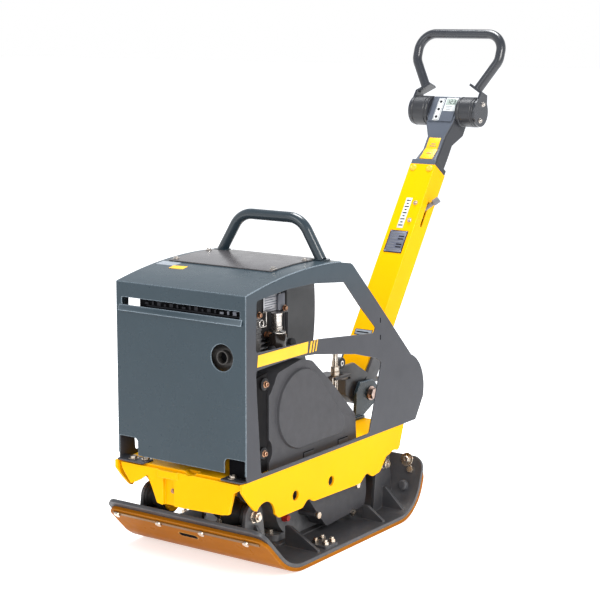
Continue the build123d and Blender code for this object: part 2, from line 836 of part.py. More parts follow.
with BuildPart() as hood_bolts:
    with BuildSketch(at_z(frame_top + hood_foot)):
        with Locations((-128, hood_front + 8), (-102, hood_front + 17), (124, hood_front + 8)):
            RegularPolygon(6.5, 6, major_radius=False)
    extrude(amount=6)
    for screw_x in (cover_left + 8, cover_right - 6):
        for screw_y in (cover_front + 14, -38):
            screw_seat = Plane(
                origin=(screw_x, screw_y, hood_z(screw_y) + sheet_seam + cover_sheet),
                z_dir=(0, (screw_y - hood_crown_y) / crown_radius, 1),
            )
            with BuildSketch(screw_seat.offset(sheet_seam)):
                Circle(6)
            extrude(amount=3.5)
keep(hood_bolts.part, "hood_bolts")

# ---- belt guard, its bracket, and the belt -------------------------------------------
guard_outer = 150
guard_step = 6            # height of the raised middle of the guard
guard_inner = 95
guard_edge = (
    (-204, frame_top), (-204, 357), (-187, 374), (-175, 395), (-93, 410), (-55, 400), (14, 344), (106, 257),
    (111, frame_top),
)
guard_ears = ((-219, 381), (-223, 243))
washer_radius = 12.6
with BuildPart() as belt_guard:
    with BuildSketch(at_x(guard_inner)) as guard_face:
        with BuildLine():
            FilletPolyline(*guard_edge, radius=16)
            Line(guard_edge[-1], guard_edge[0])
        make_face()
        with Locations(*guard_ears):
            Circle(30, mode=Mode.SUBTRACT)
    extrude(amount=guard_outer - guard_step - guard_inner)
    for level, shrink in ((guard_step, 0), (0, 2.2)):
        with BuildSketch(at_x(guard_outer - level)):
            with Locations((-98, 310)):
                Circle(82 - shrink)
            with Locations((34, 252)):
                Circle(24 - shrink)
            make_hull()
    loft()
    with BuildSketch(at_x(guard_inner)):
        add(guard_face.sketch_local)
        offset(amount=-guard_sheet, mode=Mode.REPLACE)
        with Locations(((-204 + 111) / 2, frame_top + guard_sheet / 2)):
            Rectangle(111 + 204 - 2 * guard_sheet, guard_sheet + 2)
    extrude(amount=guard_outer - guard_step - guard_sheet - guard_inner, mode=Mode.SUBTRACT)
keep(belt_guard.part, "belt_guard")

bracket_x = guard_outer - guard_step - guard_sheet
with BuildPart() as guard_bracket:
    with BuildSketch(at_x(bracket_x)):
        with BuildLine():
            Polyline(
                (-242, frame_top), (-242, 396), (-206, 402), (-206, 372), (-206, frame_top), close=True
            )
        make_face()
    extrude(amount=-4)
    with BuildSketch(at_x(bracket_x)):
        with Locations(*guard_ears):
            Circle(washer_radius)
    extrude(amount=guard_sheet)
    with BuildSketch(at_z(frame_top)):
        with Locations((bracket_x - 24, -224)):
            Rectangle(48, 36)
    extrude(amount=4)
keep(guard_bracket.part, "guard_bracket")

with BuildPart() as guard_screws:
    for ear_y, ear_z in guard_ears:
        with BuildSketch(at_x(bracket_x + guard_sheet)):
            with Locations((ear_y, ear_z)):
                Circle(8)
        extrude(amount=1.6)
        with BuildSketch(at_x(bracket_x + guard_sheet + 1.6)):
            with Locations((ear_y, ear_z)):
                RegularPolygon(5.5, 6, major_radius=False)
        extrude(amount=5)
keep(guard_screws.part, "guard_screws")

with BuildPart() as drive_belt:
    with BuildSketch(at_x(belt_left)):
        for extra, joined in ((belt_depth, Mode.ADD), (0, Mode.SUBTRACT)):
            with BuildSketch(mode=Mode.PRIVATE) as ring:
                with Locations((crank_y, crank_z)):
                    Circle(clutch_radius + extra)
                with Locations((driven_y, driven_z)):
                    Circle(exciter_radius + extra)
                make_hull()
            add(ring.sketch, mode=joined)
    extrude(amount=belt_width)
keep(drive_belt.part, "drive_belt")

# ---- engine ---------------------------------------------------------------------------
case_left = -62
case_right = 58
case_front = -168
case_rear = -22
case_bottom = 224
case_top = 376
case_wall = 7
crank_bore = crank_radius + running_gap
throw_radius = 42
throw_width = 24
with BuildPart() as crankcase:
    with BuildSketch(at_z(case_bottom)):
        with Locations(((case_left + case_right) / 2, (case_front + case_rear) / 2)):
            RectangleRounded(case_right - case_left, case_rear - case_front, 12)
    extrude(amount=case_top - case_bottom)
    with BuildSketch(at_z(case_bottom + case_wall)):
        with Locations(((case_left + case_right) / 2, (case_front + case_rear) / 2)):
            Rectangle(case_right - case_left - 40, case_rear - case_front - 2 * case_wall)
    extrude(amount=case_top - case_bottom - 2 * case_wall, mode=Mode.SUBTRACT)
    with BuildSketch(at_x(case_left)):
        with Locations((crank_y, crank_z)):
            Circle(crank_bore)
    extrude(amount=case_right - case_left, mode=Mode.SUBTRACT)
    # feet down to the deck
    for foot_y in (case_front + 16, case_rear - 16):
        with BuildSketch(at_z(frame_top)):
            with Locations(((case_left + case_right) / 2, foot_y)):
                Rectangle(case_right - case_left + 44, 30)
        extrude(amount=10)
        with BuildSketch(at_z(frame_top + 10)):
            with Locations(((case_left + case_right) / 2, foot_y)):
                Rectangle(case_right - case_left - 10, 26)
        extrude(amount=case_bottom - frame_top - 10)
keep(crankcase.part, "crankcase")

with BuildPart() as frame_bolts:
    for foot_y in (case_front + 16, case_rear - 16):
        for foot_x in (case_left - 12, case_right + 12):
            with BuildSketch(at_z(frame_top + 10)):
                with Locations((foot_x, foot_y)):
                    RegularPolygon(7, 6, major_radius=False)
            extrude(amount=8)
    # nuts of the buffers on the inner side of the webs
    for side in (-1, 1):
        for buffer_y in buffer_places:
            with BuildSketch(at_x(side * web_inner_x)):
                with Locations((buffer_y, buffer_height)):
                    RegularPolygon(9.5, 6, major_radius=False)
            extrude(amount=-side * 9)
keep(frame_bolts.part, "frame_bolts")

fin_count = 8
fin_pitch = 10
barrel_radius = 44
fin_length = 126
head_length = 118
head_height = 26
with BuildPart() as cylinder:
    with BuildSketch(at_z(case_top)):
        with Locations((-2, crank_y)):
            Circle(barrel_radius)
    extrude(amount=fin_count * fin_pitch)
    for fin in range(fin_count):
        with BuildSketch(at_z(case_top + 4 + fin * fin_pitch)):
            with Locations((-2, crank_y)):
                RectangleRounded(108, fin_length, 20)
        extrude(amount=3)
    with BuildSketch(at_z(case_top + fin_count * fin_pitch)):
        with Locations((-2, crank_y)):
            RectangleRounded(100, head_length, 14)
    extrude(amount=head_height)
keep(cylinder.part, "cylinder")
cylinder_top = case_top + fin_count * fin_pitch + head_height

with BuildPart() as crankshaft:
    with BuildSketch(at_x(-118)):
        with Locations((crank_y, crank_z)):
            Circle(crank_radius)
    extrude(amount=118 + belt_x + pulley_half)
    with BuildSketch(at_x(-2 - throw_width / 2)):
        with Locations((crank_y, crank_z)):
            Circle(throw_radius)
    extrude(amount=throw_width)
keep(crankshaft.part, "crankshaft")
keep(belt_pulley(crank_y, crank_z, clutch_radius, crank_bore), "clutch_pulley")

cowl_left = -124
cowl_right = -66
cowl_radius = 94
cowl_sheet = 2.5
flywheel_radius = 84
with BuildPart() as flywheel:
    with BuildSketch(at_x(-112)):
        with Locations((crank_y, crank_z)):
            Circle(flywheel_radius)
            Circle(crank_bore, mode=Mode.SUBTRACT)
    extrude(amount=14)
    for blade in range(16):
        turn = math.radians(blade * 360 / 16)
        with BuildSketch(at_x(-98)):
            blade_centre = (crank_y + 66 * math.cos(turn), crank_z + 66 * math.sin(turn))
            with Locations(Location(blade_centre, math.degrees(turn) + 25)):
                Rectangle(30, 3)
        extrude(amount=22)
keep(flywheel.part, "flywheel")

duct_bottom = 440
duct_top = 538
duct_right = 57
duct_length = fin_length + 2 * cowl_sheet
exhaust_port_x = 30
exhaust_port_z = cylinder_top - 13
exhaust_pipe = 14
with BuildPart() as fan_cowl:
    with BuildSketch(at_x(cowl_left)):
        with Locations((crank_y, crank_z)):
            Circle(cowl_radius)
        with Locations((crank_y, (crank_z + cylinder_top) / 2)):
            Rectangle(1.5 * cowl_radius, cylinder_top - crank_z)
    extrude(amount=cowl_right - cowl_left)
    with BuildSketch(at_x(cowl_left + cowl_sheet)):
        with Locations((crank_y, crank_z)):
            Circle(cowl_radius - cowl_sheet)
        with Locations((crank_y, (crank_z + cylinder_top) / 2)):
            Rectangle(1.5 * cowl_radius - 2 * cowl_sheet, cylinder_top - crank_z - 2 * cowl_sheet)
    extrude(amount=cowl_right - cowl_left - cowl_sheet, mode=Mode.SUBTRACT)
    with BuildSketch(at_x(cowl_left)):
        with Locations((crank_y, crank_z)):
            Circle(62)
    extrude(amount=cowl_sheet, mode=Mode.SUBTRACT)
    # duct over the cylinder, open below
    with BuildSketch(at_z(duct_bottom)):
        with Locations(((cowl_right - cowl_sheet + duct_right) / 2, crank_y)):
            Rectangle(duct_right - cowl_right + cowl_sheet, duct_length)
    extrude(amount=duct_top - duct_bottom)
    with BuildSketch(at_z(duct_bottom)):
        with Locations(((cowl_right - 10 + duct_right - cowl_sheet) / 2, crank_y)):
            Rectangle(duct_right - cowl_sheet - cowl_right + 10, duct_length - 2 * cowl_sheet)
    extrude(amount=duct_top - duct_bottom - cowl_sheet, mode=Mode.SUBTRACT)
    with BuildSketch(at_y(crank_y)):
        with Locations((exhaust_port_x, exhaust_port_z)):
            Circle(exhaust_pipe + 2)
    extrude(amount=duct_length, mode=Mode.SUBTRACT)
keep(fan_cowl.part, "fan_cowl")

starter_radius = 76
starter_depth = 20
grip_height = crank_z - 40
grip_y = crank_y + 40
with BuildPart() as recoil_starter:
    with BuildSketch(at_x(cowl_left)):
        with Locations((crank_y, crank_z)):
            Circle(starter_radius)
    extrude(amount=-starter_depth)
    with BuildSketch(at_x(cowl_left)):
        with Locations((crank_y, crank_z)):
            Circle(starter_radius - 3)
    extrude(amount=-starter_depth + 3, mode=Mode.SUBTRACT)
    with BuildSketch(at_x(cowl_left - starter_depth)):
        for slot in range(12):
            turn = math.radians(slot * 30)
            slot_centre = (crank_y + 44 * math.cos(turn), crank_z + 44 * math.sin(turn))
            with Locations(Location(slot_centre, math.degrees(turn))):
                SlotOverall(30, 7)
    extrude(amount=3, mode=Mode.SUBTRACT)
keep(recoil_starter.part, "recoil_starter")

grip_x = cowl_left - starter_depth - seat_gap
with BuildPart() as starter_grip:
    with BuildSketch(at_x(grip_x)):
        with Locations((grip_y, grip_height)):
            Circle(5)
    extrude(amount=-5)
    with BuildSketch(at_x(grip_x - 5)):
        with Locations((grip_y, grip_height)):
            SlotOverall(64, 20)
    extrude(amount=-7)
keep(starter_grip.part, "starter_grip")

tank_x = (-66, 62)
tank_y = (crank_y + duct_length / 2, 74)
tank_z = (398, 566)
tank_bow = 8
tank_sheet = 3


def tank_outline(inset):
    """Outline of the tank in the YZ plane, its rear edge bowed."""
    Polyline(
        (tank_y[1] - tank_bow - inset, tank_z[0] + inset),
        (tank_y[0] + inset, tank_z[0] + inset),
        (tank_y[0] + inset, tank_z[1] - inset),
        (tank_y[1] - tank_bow - inset, tank_z[1] - inset),
    )
    ThreePointArc(
        (tank_y[1] - tank_bow - inset, tank_z[1] - inset),
        (tank_y[1] - inset, (tank_z[0] + tank_z[1]) / 2),
        (tank_y[1] - tank_bow - inset, tank_z[0] + inset),
    )


cap_x = 0
cap_y = 42
cap_radius = 21
neck_radius = 15
with BuildPart() as fuel_tank:
    with BuildSketch(at_x(tank_x[0])):
        with BuildLine():
            tank_outline(0)
        make_face()
    extrude(amount=tank_x[1] - tank_x[0])
    with BuildSketch(at_z(tank_z[1])):
        with Locations((cap_x, cap_y)):
            Circle(neck_radius)
    extrude(amount=8)
    with BuildSketch(at_x(tank_x[0] + tank_sheet)):
        with BuildLine():
            tank_outline(tank_sheet)
        make_face()
    extrude(amount=tank_x[1] - tank_x[0] - 2 * tank_sheet, mode=Mode.SUBTRACT)
    with BuildSketch(at_z(tank_z[1] - 5)):
        with Locations((cap_x, cap_y)):
            Circle(neck_radius - 3)
    extrude(amount=20, mode=Mode.SUBTRACT)
keep(fuel_tank.part, "fuel_tank")

with BuildPart() as fuel_cap:
    with BuildSketch(at_z(tank_z[1] + 1)):
        with Locations((cap_x, cap_y)):
            Circle(cap_radius)
    extrude(amount=12)
    with BuildSketch(at_z(tank_z[1] + 1)):
        with Locations((cap_x, cap_y)):
            Circle(neck_radius + clear_gap)
    extrude(amount=7 + seat_gap, mode=Mode.SUBTRACT)
    for lug in range(8):
        turn = math.radians(lug * 45)
        with BuildSketch(at_z(tank_z[1] + 1)):
            with Locations((cap_x + cap_radius * math.cos(turn), cap_y + cap_radius * math.sin(turn))):
                Circle(3)
        extrude(amount=12)
keep(fuel_cap.part, "fuel_cap")

muffler_x = (16, 136)
muffler_y = (-290, -222)
muffler_z = (406, 474)
tailpipe_radius = 13.5
tailpipe_wall = 2
with BuildPart() as muffler:
    with BuildSketch(at_x(muffler_x[0])):
        with Locations((sum(muffler_y) / 2, sum(muffler_z) / 2)):
            RectangleRounded(muffler_y[1] - muffler_y[0], muffler_z[1] - muffler_z[0], 26)
    extrude(amount=muffler_x[1] - muffler_x[0])
    with BuildSketch(at_y(muffler_y[0])):
        with Locations((exhaust_x, exhaust_height)):
            Circle(tailpipe_radius)
    extrude(amount=muffler_y[0] - hood_front - 1)
    with BuildSketch(at_y(sum(muffler_y) / 2)):
        with Locations((exhaust_x, exhaust_height)):
            Circle(tailpipe_radius - tailpipe_wall)
    extrude(amount=60, mode=Mode.SUBTRACT)
    with BuildSketch(at_y(sum(muffler_y) / 2)):
        with Locations((exhaust_port_x, exhaust_port_z)):
            Circle(exhaust_pipe)
    extrude(amount=sum(muffler_y) / 2 - crank_y + head_length / 2)
keep(muffler.part, "muffler")

filter_centre = (-106, 45)
filter_radius = 36
with BuildPart() as air_filter:
    with BuildSketch(at_z(420)):
        with Locations(filter_centre):
            Circle(filter_radius)
    extrude(amount=100)
    fillet(air_filter.edges().filter_by(GeomType.CIRCLE), 5)
    for rib_z in (450, 490):
        with BuildSketch(at_z(rib_z)):
            with Locations(filter_centre):
                Circle(filter_radius + 2)
        extrude(amount=4)
    with BuildSketch(at_z(440)):
        with Locations(((filter_centre[0] + tank_x[0]) / 2, filter_centre[1])):
            Rectangle(tank_x[0] - filter_centre[0], 34)
    extrude(amount=70)
keep(air_filter.part, "air_filter")

bowl_x = 74
bowl_y = -88
bowl_radius = 15
with BuildPart() as fuel_filter:
    with BuildSketch(at_z(412)):
        with Locations((bowl_x, bowl_y)):
            Circle(bowl_radius - 3)
    extrude(amount=6)
    with BuildSketch(at_z(418)):
        with Locations((bowl_x, bowl_y)):
            Circle(bowl_radius)
    extrude(amount=44)
    with BuildSketch(at_z(462)):
        with Locations((bowl_x, bowl_y)):
            Circle(bowl_radius + 2)
    extrude(amount=4)
    with BuildSketch(at_z(466)):
        with Locations((bowl_x, bowl_y)):
            Circle(bowl_radius - 1)
    extrude(amount=30)
    with BuildSketch(at_z(470)):
        with Locations(((bowl_x + duct_right) / 2, bowl_y)):
            Rectangle(bowl_x - duct_right, 18)
    extrude(amount=14)
keep(fuel_filter.part, "fuel_filter")

# ---- drawbar: bracket, pivot, stop -----------------------------------------------------
lean = math.radians(bar_angle)
bar_up = (0, math.cos(lean), math.sin(lean))
bar_back = (0, math.sin(lean), -math.cos(lean))
bar = Plane(
    origin=(0, pivot_y + bar_set_back * bar_back[1], pivot_z + bar_set_back * bar_back[2]),
    x_dir=(1, 0, 0),
    z_dir=bar_up,
)
fork_inner = bar_width / 2
fork_sheet = 8
fork_outer = fork_inner + fork_sheet
bracket_inner = fork_outer + 4
bracket_sheet = 8
bracket_outer = bracket_inner + bracket_sheet
bracket_foot_y = (210, deck_rear)
bush_radius = 16
cheek_radius = 24
bracket_round = 30
pivot_bore = pivot_bolt_radius + running_gap


def bar_point(reach, back):
    """(y, z) of a point on the bar's middle plane."""
    y = bar.origin.Y + reach * bar_up[1] + back * bar_back[1]
    z = bar.origin.Z + reach * bar_up[2] + back * bar_back[2]
    return (y, z)


with BuildPart() as drawbar_bracket:
    for side in (-1, 1):
        with BuildSketch(at_x(side * bracket_inner)):
            with Locations((pivot_y, pivot_z)):
                Circle(bracket_round)
            with Locations((deck_rear - 13, frame_top + 1)):
                Rectangle(26, 2)
            make_hull()
            with BuildLine():
                Polyline(
                    (deck_rear - 26, frame_top), (250, 262), (266, 284), (pivot_y, pivot_z + bracket_round),
                    (pivot_y, frame_top + 20), (deck_rear, frame_top), close=True,
                )
            make_face()
            with Locations((pivot_y, pivot_z)):
                Circle(pivot_bore, mode=Mode.SUBTRACT)
        extrude(amount=side * bracket_sheet)
    with BuildSketch(at_z(frame_top)):
        with Locations((0, sum(bracket_foot_y) / 2)):
            Rectangle(2 * bracket_outer + 16, bracket_foot_y[1] - bracket_foot_y[0])
    extrude(amount=6)
keep(drawbar_bracket.part, "drawbar_bracket")

with BuildPart() as pivot_bolt:
    with BuildSketch(at_x(-bracket_outer)):
        with Locations((pivot_y, pivot_z)):
            Circle(pivot_bolt_radius)
    extrude(amount=2 * bracket_outer)
    for side in (-1, 1):
        with BuildSketch(at_x(side * bracket_outer)):
            with Locations((pivot_y, pivot_z)):
                Circle(16)
        extrude(amount=side * 3)
        with BuildSketch(at_x(side * (bracket_outer + 3))):
            with Locations((pivot_y, pivot_z)):
                RegularPolygon(pivot_bolt_radius + 1, 6, major_radius=False)
        extrude(amount=side * 8)
keep(pivot_bolt.part, "pivot_bolt")

arm_bottom = 310
arm_sheet = 6
arm_front_y = 150
stud_y = 168
stud_x = 50
stop_stud = 6
stop_slot = 2 * stop_stud + 2
stop_length = 163
stop_nut = 9.5            # apothem and height of the stop's nuts
stop_plate_outer = 66
swing = math.radians(90 - bar_angle)
arm_drop = (arm_front_y - pivot_y) * math.sin(swing) + (arm_bottom - pivot_z) * math.cos(swing)
arm_reach = (arm_front_y - pivot_y) * math.cos(swing) - (arm_bottom - pivot_z) * math.sin(swing)
slot_end_y = pivot_y + (
    (stud_y + stop_stud + 3 - pivot_y) + (arm_bottom + arm_sheet - pivot_z) * math.sin(swing)
) / math.cos(swing)
with BuildPart() as bar_stop:
    with BuildSketch(at_z(frame_top)):
        with Locations((stud_x, stud_y)):
            Circle(stop_stud)
    extrude(amount=stop_length)
    for nut_z in (frame_top, arm_bottom + arm_sheet + seat_gap, arm_bottom + arm_sheet + seat_gap + 11):
        with BuildSketch(at_z(nut_z)):
            with Locations((stud_x, stud_y)):
                RegularPolygon(stop_nut, 6, major_radius=False)
        extrude(amount=stop_nut)
keep(bar_stop.part, "bar_stop")

with BuildPart() as rubber_stop:
    with BuildSketch(at_z(frame_top)):
        with Locations((stud_x, pivot_y + arm_reach)):
            RectangleRounded(26, 18, 3)
    extrude(amount=pivot_z + arm_drop - frame_top - seat_gap)
keep(rubber_stop.part, "rubber_stop")

cheek_length = 118
yoke_edge = ((222, 262), (222, 296), (272, 296), (292, 283), (292, 240), (262, 234))
arm_top_z = 328
arm_roller = (206, 336)
roller_radius = 13
roller_inner = 24
foot_middle = 332
foot_length = 72
foot_sheet = 8
with BuildPart() as drawbar_fork:
    for side in (-1, 1):
        with BuildSketch(at_x(side * fork_inner)):
            with Locations((pivot_y, pivot_z)):
                Circle(cheek_radius - 2)
            with BuildLine():
                Polyline(
                    bar_point(0, -26), bar_point(cheek_length, -22), bar_point(cheek_length, 18),
                    bar_point(0, 14), close=True,
                )
            make_face()
        extrude(amount=side * fork_sheet)
    # cast yoke joining the cheeks in front of the pivot
    with BuildSketch(at_x(-fork_outer)):
        with BuildLine():
            Polyline(*yoke_edge, close=True)
        make_face()
    extrude(amount=2 * fork_outer)
    # forward arm on the left cheek, with an open slot for the stop stud
    with BuildSketch(at_x(fork_inner)):
        with BuildLine():
            Polyline(
                (slot_end_y + 6, arm_bottom + arm_sheet), (slot_end_y + 6, arm_bottom), (232, arm_bottom),
                (248, 290), (286, 276), bar_point(40, -20), (258, arm_top_z), (198, arm_top_z), close=True,
            )
        make_face()
    extrude(amount=fork_sheet)
    # the roller stays clear of the stop stud as the arm swings down past it
    with BuildSketch(at_x(roller_inner)):
        with Locations(arm_roller):
            Circle(roller_radius)
    extrude(amount=stud_x - stop_stud - 1 - roller_inner)
    with BuildSketch(at_z(arm_bottom)):
        with Locations(((fork_inner + stop_plate_outer) / 2, (arm_front_y + slot_end_y + 16) / 2)):
            Rectangle(stop_plate_outer - fork_inner, slot_end_y + 16 - arm_front_y)
        with Locations((stud_x, (arm_front_y + slot_end_y) / 2)):
            Rectangle(stop_slot, slot_end_y - arm_front_y, mode=Mode.SUBTRACT)
    extrude(amount=arm_sheet)
    # foot plate closing the bar's lower end
    with BuildSketch(at_z(bar_cut_height)):
        with Locations((0, foot_middle)):
            Rectangle(2 * fork_outer, foot_length)
    extrude(amount=-foot_sheet)
    # bush
    with BuildSketch(at_x(-bracket_inner + seat_gap)):
        with Locations((pivot_y, pivot_z)):
            Circle(bush_radius)
    extrude(amount=2 * (bracket_inner - seat_gap))
    with BuildSketch(at_x(-bracket_inner)):
        with Locations((pivot_y, pivot_z)):
            Circle(pivot_bore)
    extrude(amount=2 * bracket_inner, mode=Mode.SUBTRACT)
keep(drawbar_fork.part, "drawbar_fork")

# ---- throttle lever and the bar's tube -----------------------------------------------------
lever_x = 14
lever_drop = 119          # top of the tube down to the lever's pin
lever_reach = bar_length - lever_drop
lever_rest = 45           # from straight out sideways, towards the top of the bar
lever_swing = 50
lever_width = 8
lever_sheet = 5
lever_length = 44
knob_radius = 7.5
knob_length = 17
slot_half = (
    (fork_inner - lever_x) * math.tan(math.radians(lever_swing))
    + lever_width / 2 / math.cos(math.radians(lever_swing)) + 1
)
with BuildPart() as drawbar_tube:
    with BuildSketch(bar):
        Rectangle(bar_width, bar_depth)
        Rectangle(bar_width - 2 * bar_wall, bar_depth - 2 * bar_wall, mode=Mode.SUBTRACT)
    extrude(amount=bar_length)
    split(bisect_by=Plane.XY.offset(bar_cut_height), keep=Keep.TOP)
    slot_origin = bar.from_local_coords((fork_inner - bar_wall - 1, 0, lever_reach))
    side_face = Plane(origin=slot_origin, x_dir=bar_up, z_dir=(1, 0, 0))
    with BuildSketch(side_face):
        SlotOverall(2 * slot_half + 4, lever_sheet + 4)
    extrude(amount=bar_wall + 2, mode=Mode.SUBTRACT)
keep(drawbar_tube.part, "drawbar_tube")

turn = math.radians(lever_rest)
lever_along = (math.cos(turn), math.sin(turn) * bar_up[1], math.sin(turn) * bar_up[2])
with BuildPart() as throttle_lever:
    lever_plane = Plane(
        origin=bar.from_local_coords((lever_x, -lever_sheet / 2, lever_reach)),
        x_dir=lever_along,
        z_dir=bar_back,
    )
    with BuildSketch(lever_plane):
        Circle(9)
        Rectangle(lever_length, lever_width, align=(Align.MIN, Align.CENTER))
    extrude(amount=lever_sheet)
    knob_foot = lever_plane.from_local_coords((lever_length, 0, lever_sheet / 2))
    with BuildSketch(Plane(origin=knob_foot, z_dir=lever_along)):
        Circle(knob_radius)
    extrude(amount=knob_length)
    rims = throttle_lever.edges().filter_by(GeomType.CIRCLE)
    fillet(rims.filter_by(lambda rim: abs(rim.radius - knob_radius) < 0.01), 2)
    pin_half = bar_depth / 2 - bar_wall - seat_gap
    with BuildSketch(Plane(origin=bar.from_local_coords((lever_x, -pin_half, lever_reach)), z_dir=bar_back)):
        Circle(5)
    extrude(amount=2 * pin_half)
keep(throttle_lever.part, "throttle_lever")

# ---- control head and loop ---------------------------------------------------------------------
collar_height = 12
neck_start = bar_length + collar_height
neck_narrow = bar_length + 49
block_start = bar_length + hub_rise - 77
block_end = bar_length + hub_rise + 29
block_front = -19
block_back = 44
neck_middle = (0, 10)
neck_size = (50, 46)
hub_y, hub_z = bar_point(bar_length + hub_rise, 0)
with BuildPart() as control_head:
    with BuildSketch(bar.offset(bar_length)):
        RectangleRounded(bar_width, bar_depth, 4)
    extrude(amount=collar_height)
    with BuildSketch(bar.offset(neck_start)):
        RectangleRounded(bar_width - 8, bar_depth - 8, 6)
    with BuildSketch(bar.offset(neck_narrow)):
        with Locations(neck_middle):
            RectangleRounded(*neck_size, 6)
    loft()
    with BuildSketch(bar.offset(neck_narrow)):
        with Locations(neck_middle):
            RectangleRounded(*neck_size, 6)
    extrude(amount=block_start - neck_narrow + 12)
    with BuildSketch(bar.offset(block_start)):
        with Locations(neck_middle):
            RectangleRounded(*neck_size, 6)
    with BuildSketch(bar.offset(block_start + 34)):
        with Locations((0, (block_front + block_back) / 2)):
            RectangleRounded(2 * hub_inner, block_back - block_front, 6)
    loft()
    with BuildSketch(bar.offset(block_start + 34)):
        with Locations((0, (block_front + block_back) / 2)):
            RectangleRounded(2 * hub_inner, block_back - block_front, 6)
    extrude(amount=block_end - block_start - 34)
    with BuildSketch(at_x(-hub_outer)):
        with Locations((hub_y, hub_z)):
            Circle(hub_radius)
    extrude(amount=2 * hub_outer)
    with BuildSketch(at_x(-hub_outer)):
        with Locations((hub_y, hub_z)):
            Circle(control_shaft + running_gap)
    extrude(amount=2 * hub_outer, mode=Mode.SUBTRACT)
    # flat for the panel
    with BuildSketch(bar.offset(block_start + 30)):
        with Locations((0, block_front - 20)):
            Rectangle(2 * hub_inner, 40)
    extrude(amount=block_end - block_start - 30 + 20, mode=Mode.SUBTRACT)
keep(control_head.part, "control_head")

panel_sheet = 4
with BuildPart() as hour_meter:
    panel_plane = Plane(
        origin=bar.from_local_coords((0, block_front, (block_start + 36 + block_end) / 2)),
        x_dir=(1, 0, 0),
        z_dir=(0, -bar_back[1], -bar_back[2]),
    )
    with BuildSketch(panel_plane):
        RectangleRounded(2 * hub_inner - 10, block_end - block_start - 42, 4)
    extrude(amount=panel_sheet)
keep(hour_meter.part, "hour_meter")

loop_tilt = math.radians(loop_lean)
loop_plane = Plane(
    origin=(0, hub_y, hub_z), x_dir=(1, 0, 0), z_dir=(0, -math.cos(loop_tilt), math.sin(loop_tilt))
)
loop_end = (72, 58)
loop_elbow = (loop_half_width - 1, 128)
tab_turn = math.atan2(loop_elbow[1] - loop_end[1], loop_elbow[0] - loop_end[0])
tab_half = 18
arm_plate = 6
arm_x = hub_outer + seat_gap


def tab_point(side, along, under):
    """A point of the tab that closes a tube end, in the loop's plane."""
    x = loop_end[0] + along * math.sin(tab_turn) - under * math.cos(tab_turn)
    height = loop_end[1] - along * math.cos(tab_turn) - under * math.sin(tab_turn)
    return (side * x, height)


tab_out = (arm_x + arm_plate - loop_end[0]) / math.sin(tab_turn)
arm_top = tab_point(1, tab_out, 0)[1]
with BuildPart() as loop_arms:
    for side in (-1, 1):
        with BuildSketch(at_x(side * arm_x)):
            with Locations((hub_y, hub_z)):
                Circle(hub_radius)
            with BuildLine():
                Polyline(
                    *[
                        (
                            hub_y + height * math.sin(loop_tilt) + aside * math.cos(loop_tilt),
                            hub_z + height * math.cos(loop_tilt) - aside * math.sin(loop_tilt),
                        )
                        for height, aside in ((0, -30), (arm_top, -15), (arm_top, 15), (0, 30))
                    ],
                    close=True,
                )
            make_face()
        extrude(amount=side * arm_plate)
        with BuildSketch(loop_plane.offset(-15)):
            with BuildLine():
                Polyline(
                    tab_point(side, -tab_half, 0),
                    tab_point(side, tab_out, 0),
                    tab_point(side, tab_out, arm_plate),
                    tab_point(side, -tab_half, arm_plate),
                    close=True,
                )
            make_face()
        extrude(amount=30)
    with BuildSketch(at_x(-arm_x)):
        with Locations((hub_y, hub_z)):
            Circle(control_shaft)
    extrude(amount=2 * arm_x)
keep(loop_arms.part, "loop_arms")

with BuildPart() as control_loop:
    with BuildLine(loop_plane) as loop_path:
        FilletPolyline(
            (-loop_end[0], loop_end[1]),
            (-loop_elbow[0], loop_elbow[1]),
            (-loop_half_width, loop_height),
            (loop_half_width, loop_height),
            loop_elbow,
            loop_end,
            radius=[40, 42, 42, 40],
        )
    with BuildSketch(Plane(origin=loop_path.line @ 0, z_dir=loop_path.line % 0)):
        Circle(loop_tube / 2)
    sweep()
keep(control_loop.part, "control_loop")
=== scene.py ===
import bpy
import json
import math
from mathutils import Matrix, Vector


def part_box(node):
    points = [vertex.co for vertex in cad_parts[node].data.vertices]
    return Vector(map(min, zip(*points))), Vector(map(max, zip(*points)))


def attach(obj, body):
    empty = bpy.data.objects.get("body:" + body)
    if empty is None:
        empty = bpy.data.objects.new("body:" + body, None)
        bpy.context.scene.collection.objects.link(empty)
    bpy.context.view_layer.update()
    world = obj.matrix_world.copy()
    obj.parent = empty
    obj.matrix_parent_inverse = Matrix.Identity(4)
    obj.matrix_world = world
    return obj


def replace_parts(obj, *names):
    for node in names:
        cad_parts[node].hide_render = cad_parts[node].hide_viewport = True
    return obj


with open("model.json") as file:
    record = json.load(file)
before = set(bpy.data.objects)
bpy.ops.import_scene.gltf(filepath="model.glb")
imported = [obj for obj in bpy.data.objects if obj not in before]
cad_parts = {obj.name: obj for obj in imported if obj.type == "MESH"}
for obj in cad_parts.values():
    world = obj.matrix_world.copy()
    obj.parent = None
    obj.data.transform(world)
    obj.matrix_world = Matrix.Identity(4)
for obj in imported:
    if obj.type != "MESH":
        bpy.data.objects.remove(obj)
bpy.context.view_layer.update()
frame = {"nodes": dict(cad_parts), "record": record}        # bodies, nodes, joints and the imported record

record = frame["record"]
bodyOf = {node: body for body, members in record["behaviour"]["bodies"].items() for node in members}
slotOf = {part["node"]: part["material_slot"] for part in record["subparts"]}


